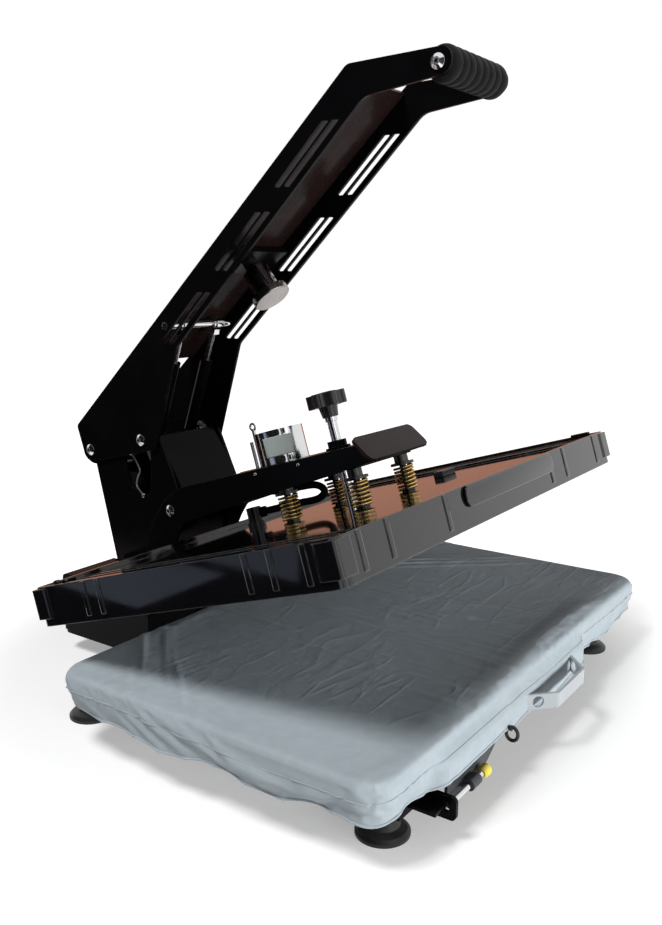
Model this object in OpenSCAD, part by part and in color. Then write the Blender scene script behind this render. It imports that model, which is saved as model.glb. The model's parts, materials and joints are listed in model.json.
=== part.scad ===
// Slide-out clamshell heat press with a magnet catch, drawn as it stands open.
// Drawing axes: +X to the user's right, +Y to the rear, +Z up, floor at z = 0.
// Every piece is drawn about the centre of the lower platen; placed() moves the
// whole machine so that its outline is centred on the origin.

/* [Lower table] */
// Width of the lower platen
table_w = 620; // [580:2:630]
// Depth of the lower platen, front to rear
table_d = 374; // [350:2:380]
// Thickness of the lower platen
table_t = 10; // [8:1:14]
// Height of the lower platen's underside above the floor
table_z = 66; // [66:1:70]
// Thickness of the silicone pad
pad_t = 8; // [5:1:10]
// Thickness of the cloth cover
cloth_t = 1.7; // [1.2:0.1:2.4]
// How far the cloth cover stands out past the platen edge
cloth_ease = 10; // [8:0.5:12]
// Corner radius of the cloth cover
cloth_r = 30; // [20:1:40]
// Height of the cloth hem above the floor
hem_z = 46; // [40:1:54]
// Depth of the folds at the hem
fold_depth = 4; // [1:0.5:5]

/* [Base] */
// Distance of the feet from the centre line
foot_x = 251; // [230:1:265]
// Front feet, distance in front of the table centre
foot_front = 156; // [140:1:165]
// Rear feet, distance behind the table centre
foot_rear = 226; // [215:1:235]
// Diameter of a rubber foot at the floor
foot_d = 50; // [40:1:60]
// Height of a rubber foot
foot_h = 25; // [20:1:28]
// Width of the base tubes
rail_w = 24; // [18:1:28]
// Height of the base tubes
rail_h = 20; // [15:1:20]
// Thickness of the rear base plate
plate_t = 4; // [3:0.5:6]
// Distance of the drawer slides from the centre line
slide_x = 170; // [140:1:190]
// Height of the slide channel section
slide_h = 20; // [16:1:20]
// Thickness of the uprights
upright_t = 4; // [3:0.5:4]
// Width of the rear housings
housing_w = 82; // [70:1:90]
// Height of the rear housings
housing_h = 76; // [60:1:78]

/* [Linkage] */
// Yoke hinge, distance behind the table centre
hinge_y = 320; // [318:1:322]
// Yoke hinge, height above the floor
hinge_z = 60; // [58:1:62]
// Angle that the yoke swings open
yoke_swing = 17.37; // [15:0.01:17.5]
// Lever hinge, distance behind the table centre
lever_y = 431.4; // [430:0.1:433]
// Lever hinge, height above the floor
lever_z = 248.9; // [247:0.1:250]
// Angle that the lever turns from open to closed
lever_turn = 39.4; // [38:0.1:40]
// Diameter of the hinge bolts
bolt_d = 10; // [8:0.5:12]
// Diameter of the link bolts
link_bolt_d = 8; // [6:0.5:10]
// Width of a toggle link
link_w = 22; // [18:1:24]
// Diameter of a gas spring cylinder
gas_d = 16; // [14:0.5:18]
// Diameter of a gas spring rod
rod_d = 8; // [6:0.5:9]
// Distance of the gas springs from the centre line
gas_x = 30; // [28:0.5:32]

/* [Upper platen] */
// Gap between the cloth and the heat platen when closed
press_gap = 4.5; // [4.2:0.1:8]
// Width of the heater cover
cover_w = 622; // [600:2:640]
// Depth of the heater cover
cover_d = 404; // [390:2:410]
// How far the heater cover sits behind the table centre
cover_y = 12.7; // [8:0.1:16]
// Height of the heater cover
cover_h = 41.5; // [38:0.5:46]
// Depth of the tray in the top of the cover
tray_depth = 6; // [3:0.5:8]
// How far the ribs stand proud of the cover walls
rib_proud = 2; // [1:0.5:3]
// Thickness of the heater cover's walls
wall_t = 6; // [4:0.5:8]
// Space between the heat platen and the cover at each side
platen_side = 3; // [2:0.5:8]
// Space between the heat platen and the cover at front and rear
platen_end = 4; // [2:0.5:8]
// Thickness of the heat platen
platen_t = 14; // [10:1:16]
// Side distance of the suspension springs
spring_x = 49; // [46:0.5:49]
// Rear suspension springs, distance behind the table centre
spring_rear = 65; // [60:1:70]
// Front suspension springs, distance in front of the table centre
spring_front = 37; // [34:1:38]
// Mean diameter of a suspension spring
coil_d = 22; // [20:0.5:24]
// Wire diameter of a suspension spring
wire_d = 3; // [2:0.1:3.2]
// Turns of a suspension spring
coil_turns = 7; // [5:1:8]

/* [Yoke] */
// Height of the yoke web's top face above the closed heat platen face
web_rise = 104.1; // [100:0.1:108]
// Half the width between the lever cheeks, and between the yoke arms
arm_in = 58; // [58:0.5:60]
// Sheet thickness of the arms, the cheeks and the webs
sheet_t = 4; // [3:0.5:5]
// Diameter of the electromagnet
magnet_d = 60; // [50:1:62]
// Height of the electromagnet
magnet_h = 41; // [36:0.5:44]
// Magnet, distance behind the table centre
magnet_y = 94.8; // [90:0.1:100]
// Pressure spindle, distance behind the table centre
spindle_y = 12.5; // [8:0.5:20]
// Diameter of the pressure spindle
spindle_d = 12; // [10:0.5:14]
// Outer diameter of the star knob
knob_d = 47; // [40:1:56]
// Height of the star knob's head
knob_h = 16; // [12:1:20]

/* [Lever] */
// Grip axis, distance in front of the table centre
grip_front = 90; // [80:1:95]
// Grip axis, height above the floor
grip_z = 677; // [670:1:684]
// Diameter of the foam grip
grip_d = 36; // [30:1:40]
// Diameter of the armature disc
disc_d = 46; // [40:1:56]
// Width of the vent slots
slot_w = 6.5; // [4:0.5:8]

/* [Handle and latch] */
// Height of the handle strap
strap_h = 16; // [12:1:20]
// Reach of the handle in front of the apron
handle_reach = 33; // [28:1:40]
// Diameter of the latch pin
latch_d = 6; // [5:0.5:8]
// Travel of the latch pin
latch_travel = 8; // [6:0.5:8]

/* [Hidden] */
$fn = 64;

// Clearances
run_fit = 0.05;
soft_gap = 0.3;
face_gap = 0.3;
slide_gap = 0.5;

// Heights of the table, from the floor up
table_top = table_z + table_t;
pad_top = table_top + pad_t;
cloth_top = pad_top + soft_gap + cloth_t;
cloth_w = table_w + 2 * cloth_ease;
cloth_d = table_d + 2 * cloth_ease;
rail_z = foot_h;
rail_top = rail_z + rail_h;
plate_top = rail_z + plate_t;

// Drawer
apron_t = 3;
strap_t = 3;
latch_knob_d = 12;
fitting_y = -cloth_d / 2;
apron_y = fitting_y + 6;
tray_side = slide_x - 10;
channel_front = -table_d / 2 + 12;
channel_rear = foot_rear;
channel_wall = 2;
runner_rear = table_d / 2 - 17;

// Heights of the closed upper half, from the cloth up
press_z = cloth_top + press_gap;
cover_top = press_z + cover_h;
panel_t = 2;
panel_top = cover_top - tray_depth;
web_top = press_z + web_rise;
web_z = web_top - sheet_t;
magnet_top = web_top + magnet_h;
plate_z = web_top - 24.6;
spring_plate_t = 3;
sleeve_z = plate_z - 9;
washer_z = sleeve_z - 3;
arm_out = arm_in + sheet_t;
bolt_head_t = 5;
upright_in = arm_in - 1 - upright_t;
link_in = upright_in - 7;
link_t = 5;
web_rear = 170;

// Front flange of the yoke: its rear face leans forward towards the floor
flange_h = 34.4;
flange_tilt = 35.5;
flange_top = web_top + 6.4;
flange_y = -49;
function flange_back(z) = flange_y - (flange_top - z) * tan(flange_tilt);
arm_front = flange_back(web_top) + 0.1;

// Pivots, as [distance behind the table centre, height]
yoke_pivot = [hinge_y, hinge_z];
lever_pivot = [lever_y, lever_z];
link_top = [333.6, 272.1];
link_foot_closed = [248.4, 169.2];
gas_top = [284, 419];
gas_foot = [340, 262];
foot_pin_d = 10;
function swung_open(p) =
  let (dy = p[0] - hinge_y, dz = p[1] - hinge_z)
  [hinge_y + dy * cos(yoke_swing) + dz * sin(yoke_swing),
   hinge_z - dy * sin(yoke_swing) + dz * cos(yoke_swing)];
link_foot = swung_open(link_foot_closed);

// Lever cheek outline: bend below the grip, knee above the link, rear corner
bend = [-5.5, 654.7];
knee = [268.1, 391.4];
rear_top = [14.8, 687.8];
rear_corner = [458.6, 279.4];
edge_dir = (knee - bend) / norm(knee - bend);
rear_dir = (rear_corner - rear_top) / norm(rear_corner - rear_top);
rear_angle = atan2(rear_dir[1], rear_dir[0]);

// The machine's outline, front of the handle to the lever's rear corner
front_most = fitting_y - handle_reach;
table_y = -(front_most + rear_corner[0]) / 2;

// Colours
black_gloss = [0.07, 0.07, 0.08];
black_matte = [0.12, 0.12, 0.13];
chrome = [0.82, 0.83, 0.85];
steel = [0.6, 0.62, 0.64];
brass = [0.74, 0.55, 0.24];
aluminium = [0.72, 0.73, 0.74];
cloth_grey = [0.66, 0.69, 0.72];
strap_grey = [0.82, 0.84, 0.85];
slate = [0.28, 0.3, 0.33];
yellow = [0.9, 0.82, 0.3];
silicone = [0.75, 0.35, 0.25];
wool = [0.85, 0.82, 0.72];
green = [0.1, 0.4, 0.25];

// Placement of the assemblies
module placed() translate([0, table_y, 0]) children();
module turned(pivot, angle) {
  translate([0, pivot[0], pivot[1]]) rotate([angle, 0, 0]) translate([0, -pivot[0], -pivot[1]]) children();
}
// The yoke is drawn closed and swung open
module yoke_pose() placed() turned(yoke_pivot, -yoke_swing) children();
// The catch on the lever is drawn above the magnet and swung open
module lever_pose() placed() turned(lever_pivot, -lever_turn) children();

// Shapes that repeat
module both_sides() {
  children();
  mirror([1, 0, 0]) children();
}
// A plate standing across X, its outline drawn as [rearward, up]
module plate_x(x, t) translate([x, 0, 0]) rotate([90, 0, 90]) linear_extrude(t) children();
// A section drawn as [x, up] and run from front to rear
module run_y(front, rear) translate([0, rear, 0]) rotate([90, 0, 0]) linear_extrude(rear - front) children();
// A round bar along X between two places
module bar_x(d, x0, x1, p) translate([x0, p[0], p[1]]) rotate([0, 90, 0]) cylinder(d = d, h = x1 - x0);
module bore_x(d, p) bar_x(d, -200, 200, p);
module post(d, x, y, z0, z1) translate([x, y, z0]) cylinder(d = d, h = z1 - z0);
module block(x0, x1, y0, y1, z0, z1) translate([x0, y0, z0]) cube([x1 - x0, y1 - y0, z1 - z0]);
// A domed bolt head whose flat seat stands at x, pointing to +X
module dome_head(d, x, p) {
  translate([x, p[0], p[1]]) rotate([0, 90, 0]) {
    cylinder(d = d, h = 2);
    translate([0, 0, 2]) cylinder(d1 = d, d2 = d * 0.5, h = bolt_head_t - 2);
  }
}
module slot2d(p, angle, len, w) {
  translate(p) rotate(angle) {
    translate([0, -w / 2]) square([len, w]);
    circle(d = w);
    translate([len, 0]) circle(d = w);
  }
}

// An outline with its corners rounded by arcs
function unit(v) = v / norm(v);
function turn(a) = a > 180 ? a - 360 : (a < -180 ? a + 360 : a);
function arc_points(c, r, start, sweep, n) =
  [for (i = [0:n]) c + r * [cos(start + sweep * i / n), sin(start + sweep * i / n)]];
function corner(p, q, s, r, n) =
  r == 0 ? [q] :
  let (
    a = unit(p - q),
    b = unit(s - q),
    half = acos(a * b) / 2,
    c = q + unit(a + b) * r / sin(half),
    t0 = q + a * r / tan(half) - c,
    t1 = q + b * r / tan(half) - c,
    start = atan2(t0[1], t0[0])
  )
  arc_points(c, r, start, turn(atan2(t1[1], t1[0]) - start), n);
function rounded(pts, r, n = 6) =
  [for (i = [0:len(pts) - 1])
    each corner(pts[(i + len(pts) - 1) % len(pts)], pts[i], pts[(i + 1) % len(pts)], r[i], n)];
function rounded_box(w, d, r, y = 0) =
  rounded([[-w / 2, y - d / 2], [w / 2, y - d / 2], [w / 2, y + d / 2], [-w / 2, y + d / 2]], [r, r, r, r]);

// A round tube swept along points, as one closed solid
function smooth_at(p, i, t) =
  let (
    n = len(p) - 1,
    a = p[max(i - 1, 0)],
    b = p[i],
    c = p[i + 1],
    d = p[min(i + 2, n)]
  )
  0.5 * (2 * b + (c - a) * t + (2 * a - 5 * b + 4 * c - d) * t * t + (3 * b - 3 * c + d - a) * t * t * t);
function smooth_path(p, steps) = concat(
  [for (i = [0:len(p) - 2]) for (k = [0:steps - 1]) smooth_at(p, i, k / steps)],
  [p[len(p) - 1]]);
function tangent(p, i) = unit(p[min(i + 1, len(p) - 1)] - p[max(i - 1, 0)]);
function carried(p, n, i) =
  i == len(p) ? [] :
  let (
    t = tangent(p, i),
    m = unit(n - t * (n * t))
  )
  concat([m], carried(p, m, i + 1));
module tube(p, d, sides, start_normal) {
  normals = carried(p, start_normal, 0);
  rings = len(p);
  points = [for (i = [0:rings - 1]) for (k = [0:sides - 1])
    let (t = tangent(p, i), u = normals[i], v = cross(t, u), a = 360 * k / sides)
    p[i] + d / 2 * (cos(a) * u + sin(a) * v)];
  sides_faces = [for (i = [0:rings - 2]) for (k = [0:sides - 1])
    let (a = i * sides + k, b = i * sides + (k + 1) % sides)
    each [[a, a + sides, b + sides], [a, b + sides, b]]];
  last = (rings - 1) * sides;
  centres = [p[0], p[rings - 1]];
  caps = [for (k = [0:sides - 1])
    let (next = (k + 1) % sides)
    each [[rings * sides, k, next], [rings * sides + 1, last + next, last + k]]];
  polyhedron(concat(points, centres), concat(sides_faces, caps), convexity = 8);
}

// Base

module base_frame() {
  color(black_gloss) placed() {
    for (s = [-1, 1]) {
      block(s * foot_x - rail_w / 2, s * foot_x + rail_w / 2, -foot_front - rail_w,
        foot_rear + rail_w, rail_z, rail_top);
    }
    for (y = [-foot_front, foot_rear]) {
      block(-foot_x, foot_x, y - rail_w / 2, y + rail_w / 2, rail_z, rail_top);
    }
    translate([0, 0, rail_z]) linear_extrude(plate_t)
      polygon(rounded([[-150, foot_rear - 4], [150, foot_rear - 4], [150, 400], [-150, 400]], [0, 0, 12, 12]));
  }
}

module rubber_feet() {
  color(black_matte) placed() for (x = [-foot_x, foot_x], y = [-foot_front, foot_rear]) {
    translate([x, y, 0]) rotate_extrude() polygon([
      [0, 0], [foot_d / 2, 0], [foot_d / 2, 3], [foot_d / 2 - 3, 6], [foot_d / 2 - 9, 9],
      [foot_d / 2 - 12, 16], [foot_d / 2 - 9, 20], [foot_d / 2 - 9, foot_h], [0, foot_h]
    ]);
  }
}

slot_r = norm(link_top - lever_pivot);
link_top_start = atan2(link_top[1] - lever_z, link_top[0] - lever_y);
module upright_outline() {
  difference() {
    polygon(rounded(
      [[300, plate_top], [300, 150], [297, 196], [275, 210], [316, 297], lever_pivot + [0, 20],
        lever_pivot + [-3, -20], [396.3, 100.7], [378.4, plate_top]],
      [0, 20, 4, 6, 8, 0, 0, 0, 0]));
    translate(yoke_pivot) circle(d = bolt_d + 2 * run_fit);
    for (a = [link_top_start, link_top_start + lever_turn]) {
      translate(lever_pivot + slot_r * [cos(a), sin(a)]) circle(r = 8);
    }
    polygon(concat(
      arc_points(lever_pivot, slot_r + 8, link_top_start, lever_turn, 12),
      arc_points(lever_pivot, slot_r - 8, link_top_start + lever_turn, -lever_turn, 12)));
    polygon(rounded([[374.7, 250], [362, 206], [326, 196], [322, 238], [341, 262]], [12, 10, 8, 10, 8]));
  }
}
module upright(x) {
  color(black_gloss) placed() difference() {
    union() {
      plate_x(x, upright_t) upright_outline();
      bar_x(40, x, x + upright_t, lever_pivot);
    }
    bore_x(bolt_d + 2 * run_fit, lever_pivot);
  }
}
module upright_left() upright(-upright_in - upright_t);
module upright_right() upright(upright_in);

bracket_bar = [395, 225];
bracket_bar_d = 16;
tie_low = [391, 110];
tie_high = [422.5, 236];
module gas_spring_bracket() {
  color(black_gloss) placed() {
    bar_x(bracket_bar_d, -upright_in, upright_in, bracket_bar);
    plate_x(-upright_in, 2 * upright_in)
      polygon([tie_low, tie_low + [sheet_t, 0], tie_high + [sheet_t, 0], tie_high]);
    both_sides() plate_x(16, 4) slot2d(bracket_bar, 0, tie_high[0] - bracket_bar[0] - 3, bracket_bar_d - 6);
    both_sides() {
      plate_x(16, 4) {
        slot2d(gas_foot, atan2(bracket_bar[1] - gas_foot[1], bracket_bar[0] - gas_foot[0]),
          norm(bracket_bar - gas_foot), 20);
      }
    }
    bar_x(bolt_d, -gas_x + 5.5, gas_x - 5.5, gas_foot);
  }
}

// Rear housings: folded covers standing on the rear plate, open underneath
housing_in = 68;
housing_front = 240;
housing_rear = 395;
housing_wall = 1.5;
inlet_x = 124;
inlet_z = 66;
rocker_x = 90;
module housing_shell() {
  top = plate_top + housing_h;
  difference() {
    plate_x(housing_in, housing_w)
      polygon(rounded([[housing_front, plate_top], [housing_front, top - 22], [housing_front + 30, top],
        [housing_rear, top], [housing_rear, plate_top]], [0, 6, 6, 6, 0]));
    plate_x(housing_in + housing_wall, housing_w - 2 * housing_wall)
      polygon([[housing_front + housing_wall, plate_top - 1], [housing_front + housing_wall, top - 24],
        [housing_front + 31, top - housing_wall], [housing_rear - housing_wall, top - housing_wall],
        [housing_rear - housing_wall, plate_top - 1]]);
  }
}
module housing_left() color(black_gloss) placed() mirror([1, 0, 0]) housing_shell();
module housing_right() {
  color(black_gloss) placed() difference() {
    housing_shell();
    block(inlet_x - inlet_w / 2 - face_gap, inlet_x + inlet_w / 2 + face_gap, housing_rear - 5,
      housing_rear + 5, inlet_z - inlet_h / 2 - face_gap, inlet_z + inlet_h / 2 + face_gap);
    block(rocker_x - bezel_w / 2 - face_gap, rocker_x + bezel_w / 2 + face_gap, housing_rear - 5,
      housing_rear + 5, inlet_z - bezel_h / 2 - face_gap, inlet_z + bezel_h / 2 + face_gap);
  }
}

inlet_w = 20;
inlet_h = 27;
inlet_wall = 2;
inlet_depth = 20;
module power_inlet() {
  color(black_matte) placed() translate([inlet_x, housing_rear, inlet_z]) {
    difference() {
      union() {
        block(-inlet_w / 2, inlet_w / 2, -inlet_depth, 3, -inlet_h / 2, inlet_h / 2);
        block(-inlet_w / 2 - 2, inlet_w / 2 + 2, 0, 3, -inlet_h / 2 - 7, inlet_h / 2 + 7);
      }
      block(-inlet_w / 2 + inlet_wall, inlet_w / 2 - inlet_wall, -inlet_depth + inlet_wall, 4,
        -inlet_h / 2 + inlet_wall, inlet_h / 2 - inlet_wall);
    }
    for (p = [[0, 0], [0, 7], [0, -7]]) {
      block(p[0] - 1, p[0] + 1, -inlet_depth + 1, -6, p[1] - 2, p[1] + 2);
    }
  }
}

bezel_w = 19;
bezel_h = 25;
rocker_w = 13;
rocker_h = 18;
rocker_pin_d = 3;
rocker_tilt = 8;
rocker_pivot_y = housing_rear - 4;
module switch_bezel() {
  color(black_matte) placed() translate([rocker_x, 0, inlet_z]) difference() {
    union() {
      block(-bezel_w / 2, bezel_w / 2, housing_rear - 14, housing_rear + 2, -bezel_h / 2, bezel_h / 2);
      block(-bezel_w / 2 - 2, bezel_w / 2 + 2, housing_rear, housing_rear + 2, -bezel_h / 2 - 2, bezel_h / 2 + 2);
    }
    block(-rocker_w / 2 - 0.4, rocker_w / 2 + 0.4, housing_rear - 12, housing_rear + 3,
      -rocker_h / 2 - 1.2, rocker_h / 2 + 1.2);
    bar_x(rocker_pin_d + 2 * run_fit, -rocker_w / 2 - 2, rocker_w / 2 + 2, [rocker_pivot_y, 0]);
  }
}
module power_rocker() {
  color([0.7, 0.08, 0.06]) placed() translate([rocker_x, 0, inlet_z])
    turned([rocker_pivot_y, 0], -rocker_tilt) {
      plate_x(-rocker_w / 2, rocker_w) polygon([
        [rocker_pivot_y - 3, -rocker_h / 2 + 2], [rocker_pivot_y + 6, -rocker_h / 2],
        [rocker_pivot_y + 4.5, 0], [rocker_pivot_y + 6, rocker_h / 2], [rocker_pivot_y - 3, rocker_h / 2 - 2]]);
      bar_x(rocker_pin_d, -rocker_w / 2 - 1.8, rocker_w / 2 + 1.8, [rocker_pivot_y, 0]);
    }
}

module slide_channels() {
  color(steel) placed() both_sides() run_y(channel_front, channel_rear) difference() {
    translate([slide_x - 7, rail_top]) square([14, slide_h]);
    translate([slide_x - 8, rail_top + channel_wall]) square([13, slide_h - 2 * channel_wall]);
  }
}

// Latch keeper: an ear in front of the base, bored for the pin
keeper_x = -231;
keeper_t = 4;
pin_y = fitting_y - strap_t - latch_knob_d / 2 - 1;
pin_z = 31;
module latch_keeper() {
  color(black_gloss) placed() {
    block(keeper_x - 22, keeper_x + keeper_t, pin_y - 2, -foot_front - rail_w, rail_z + 9, rail_z + 12);
    difference() {
      plate_x(keeper_x, keeper_t)
        polygon(rounded([[pin_y - 10, 21], [pin_y + 10, 21], [-foot_front - rail_w, rail_z],
          [-foot_front - rail_w, rail_top - 2], [pin_y - 10, rail_top - 2]], [5, 4, 0, 0, 5]));
      bar_x(latch_d + 0.6, keeper_x - 1, keeper_x + keeper_t + 1, [pin_y, pin_z]);
    }
  }
}

module yoke_pivot_bolts() {
  color(chrome) placed() both_sides() {
    bar_x(bolt_d, upright_in - 6, arm_out + face_gap, yoke_pivot);
    dome_head(15, arm_out + face_gap, yoke_pivot);
    bar_x(17, upright_in - 6, upright_in, yoke_pivot);
  }
}
module lever_pivot_bolts() {
  color(chrome) placed() both_sides() {
    bar_x(bolt_d, upright_in - 6, arm_out + face_gap, lever_pivot);
    dome_head(15, arm_out + face_gap, lever_pivot);
    bar_x(17, upright_in - 6, upright_in, lever_pivot);
  }
}

// Drawer

module carriage() {
  color(black_gloss) placed() difference() {
    union() {
      block(-tray_side, tray_side, apron_y, runner_rear, table_z - 3, table_z);
      both_sides() block(tray_side - 3, tray_side, channel_front, runner_rear, rail_top + 3, table_z);
      block(-220, tray_side, apron_y, apron_y + apron_t, rail_top + 5, table_z);
      block(-handle_w / 2, handle_w / 2, fitting_y, apron_y + 1, rail_top + 5, table_z);
      block(latch_x0 + 3, latch_x1 - 3, fitting_y, apron_y + 1, 42, latch_plate_top);
      block(-tray_side, tray_side, runner_rear - 3, runner_rear, rail_top + 5, table_z);
    }
    for (x = [-80, 0, 80], y = [-90, 0, 90]) post(50, x, y, table_z - 5, table_z + 1);
  }
}
module slide_runners() {
  color(chrome) placed() both_sides() run_y(channel_front, runner_rear) difference() {
    translate([tray_side, rail_top + channel_wall + slide_gap])
      square([14.5, slide_h - 2 * channel_wall - 2 * slide_gap]);
    translate([tray_side + 6, rail_top + channel_wall + 5]) square([10, slide_h - 2 * channel_wall - 10]);
  }
}
module lower_platen() {
  color(aluminium) placed() translate([0, 0, table_z]) linear_extrude(table_t)
    polygon(rounded_box(table_w, table_d, cloth_r - cloth_ease));
}
module silicone_pad() {
  color(silicone) placed() translate([0, 0, table_top]) linear_extrude(pad_t)
    polygon(rounded_box(table_w, table_d, cloth_r - cloth_ease));
}

// Cloth cover: a sheet over the pad whose skirt hangs in folds to an uneven hem
hem_steps = 26;
corner_steps = 5;
function edge_run(a, b, n) = [for (i = [0:n - 1]) a + (b - a) * i / n];
function cover_line(inset) =
  let (
    w = cloth_w / 2,
    d = cloth_d / 2,
    r = cloth_r,
    ri = cloth_r - inset
  )
  concat(
    edge_run([-w + r, -d + inset], [w - r, -d + inset], hem_steps),
    arc_points([w - r, -d + r], ri, -90, 90 - 90 / corner_steps, corner_steps - 1),
    edge_run([w - inset, -d + r], [w - inset, d - r], hem_steps / 2),
    arc_points([w - r, d - r], ri, 0, 90 - 90 / corner_steps, corner_steps - 1),
    edge_run([w - r, d - inset], [-w + r, d - inset], hem_steps),
    arc_points([-w + r, d - r], ri, 90, 90 - 90 / corner_steps, corner_steps - 1),
    edge_run([-w + inset, d - r], [-w + inset, -d + r], hem_steps / 2),
    arc_points([-w + r, -d + r], ri, 180, 90 - 90 / corner_steps, corner_steps - 1));
function rise(x, centre, half, blend) = max(0, min(1, (half + blend - abs(x - centre)) / blend));
handle_lift = 26;
latch_lift = 16;
rear_lift = 25;
function hem_at(p) =
  hem_z + 3 * sin(p[0] * 1.9 + p[1] * 2.6)
  + rear_lift * max(0, min(1, (p[1] - cloth_d / 2 + 60) / 45))
  + (p[1] < -cloth_d / 2 + cloth_r
    ? max(handle_lift * rise(p[0], 0, 96, 34), latch_lift * rise(p[0], -172, 56, 36)) : 0);
function fold_at(i) = fold_depth * (0.5 + 0.5 * sin(i * 113));
module pad_cover() {
  edge = cover_line(1);
  shoulder = cover_line(0);
  deep = [for (i = [0:len(shoulder) - 1]) cover_line(fold_at(i))[i]];
  deep_in = [for (i = [0:len(shoulder) - 1]) cover_line(fold_at(i) + cloth_t)[i]];
  inner = cover_line(cloth_t);
  n = len(shoulder);
  loops = [
    [for (p = cover_line(4)) [p[0], p[1], cloth_top]],
    [for (p = edge) [p[0], p[1], cloth_top - 1.2]],
    [for (p = shoulder) [p[0], p[1], cloth_top - 5]],
    [for (i = [0:n - 1]) [deep[i][0], deep[i][1], hem_at(shoulder[i])]],
    [for (i = [0:n - 1]) [deep_in[i][0], deep_in[i][1], hem_at(shoulder[i])]],
    [for (p = inner) [p[0], p[1], cloth_top - cloth_t]]
  ];
  sides_faces = [for (k = [0:len(loops) - 2]) for (i = [0:n - 1])
    let (a = k * n + i, b = k * n + (i + 1) % n)
    each [[a, b, b + n], [a, b + n, a + n]]];
  rings = len(loops) * n;
  centres = [[0, 0, cloth_top], [0, 0, cloth_top - cloth_t]];
  caps = [for (i = [0:n - 1])
    let (next = (i + 1) % n)
    each [[rings, next, i], [rings + 1, rings - n + i, rings - n + next]]];
  color(cloth_grey) placed()
    polyhedron(concat([for (loop = loops) each loop], centres), concat(sides_faces, caps), convexity = 6);
}

handle_z = rail_top + 7;
handle_w = 180;
module drawer_handle() {
  y0 = fitting_y;
  y1 = y0 - handle_reach;
  color(strap_grey) placed() difference() {
    translate([0, 0, handle_z]) linear_extrude(strap_h) polygon(rounded(
      [[-handle_w / 2, y0], [-handle_w / 2, y0 - strap_t], [-67.2, y0 - strap_t], [-36, y1], [36, y1],
        [67.2, y0 - strap_t], [handle_w / 2, y0 - strap_t], [handle_w / 2, y0], [66, y0],
        [34.6, y1 + strap_t], [-34.6, y1 + strap_t], [-66, y0]],
      [0, 0, 3, 6, 6, 3, 0, 0, 6, 3, 3, 6]));
    for (s = [-1, 1]) {
      translate([s * 51, (y0 + y1) / 2, handle_z + strap_h / 2]) rotate([0, 0, s * 43]) rotate([90, 0, 0])
        cylinder(d = 12, h = 20, center = true);
    }
  }
}

latch_x0 = -215;
latch_x1 = -118;
latch_plate_top = 58;
barrel_x0 = -187;
barrel_x1 = -171;
module latch_plate() {
  y0 = fitting_y;
  color(slate) placed() difference() {
    union() {
      translate([0, y0, 0]) rotate([90, 0, 0]) linear_extrude(strap_t) polygon(rounded(
        [[latch_x0, 26], [-142, 26], [latch_x1, 40], [latch_x1, latch_plate_top], [latch_x0, latch_plate_top]],
        [3, 10, 8, 4, 4]));
      bar_x(11, barrel_x0, barrel_x1, [pin_y, pin_z]);
      block(barrel_x0, barrel_x1, pin_y, y0 - strap_t, pin_z - 4, pin_z + 4);
    }
    bar_x(latch_d + 2 * run_fit, barrel_x0 - 1, barrel_x1 + 1, [pin_y, pin_z]);
  }
}
knob_x0 = barrel_x1 + latch_travel + 1;
module latch_pin() {
  color(chrome) placed() bar_x(latch_d, keeper_x + keeper_t + 1.5, knob_x0 + 8, [pin_y, pin_z]);
}
module latch_knob() {
  color(yellow) placed() difference() {
    translate([knob_x0, pin_y, pin_z]) rotate([0, 90, 0]) rotate_extrude()
      polygon(rounded([[0, 0], [4, 0], [latch_knob_d / 2, 3], [latch_knob_d / 2, 12], [0, 12]],
        [0, 0, 2, 3, 0]));
    bar_x(latch_d, knob_x0 - 1, knob_x0 + 8, [pin_y, pin_z]);
  }
}

// Yoke, drawn closed

module yoke_arm(x) {
  arm_nose_z = plate_z + 3.4;
  color(black_gloss) yoke_pose() difference() {
    union() {
      plate_x(x, sheet_t) polygon(rounded(
        [[flange_back(arm_nose_z) + 0.1, arm_nose_z], [arm_front, web_top], [226, web_top],
          [256, web_top - 10.6], [300, 148],
          [339, 66], [320, 42], [302, 58], [282, 100], [246, 138], [230, 151], [148, 158], [68, 163.5],
          [-20, plate_z - 1]],
        [0, 0, 12, 10, 20, 0, 0, 0, 20, 12, 10, 8, 8, 0]));
      bar_x(38, x, x + sheet_t, yoke_pivot);
    }
    bore_x(bolt_d + 2 * run_fit, yoke_pivot);
    bore_x(link_bolt_d, link_foot_closed);
  }
}
module yoke_arm_left() yoke_arm(-arm_out);
module yoke_arm_right() yoke_arm(arm_in);

module yoke_web() {
  color(black_gloss) yoke_pose() difference() {
    block(-arm_in, arm_in, arm_front, web_rear, web_z, web_top);
    post(spindle_d + 4, 0, spindle_y, web_z - 1, web_top + 1);
    post(10, 0, magnet_y, web_z - 1, web_top + 1);
    post(10.5, -10, 150, web_z - 1, web_top + 1);
  }
}
module yoke_front_flange() {
  color(black_gloss) yoke_pose() translate([0, flange_y, flange_top]) rotate([-flange_tilt, 0, 0])
    translate([0, 0, -flange_h]) rotate([90, 0, 0]) linear_extrude(sheet_t)
      polygon(rounded([[-arm_out, 0], [arm_out, 0], [arm_out, flange_h], [-arm_out, flange_h]], [8, 8, 8, 8]));
}
module at_springs() {
  for (x = [-spring_x, spring_x], y = [-spring_front, spring_rear]) translate([x, y, 0]) children();
}
module spring_plates() {
  color(black_gloss) yoke_pose() difference() {
    for (y = [-spring_front, spring_rear]) {
      block(-arm_in, arm_in, y - 10, y + 10, plate_z, plate_z + spring_plate_t);
    }
    at_springs() post(8.8, 0, 0, plate_z - 1, plate_z + spring_plate_t + 1);
  }
}
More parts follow.
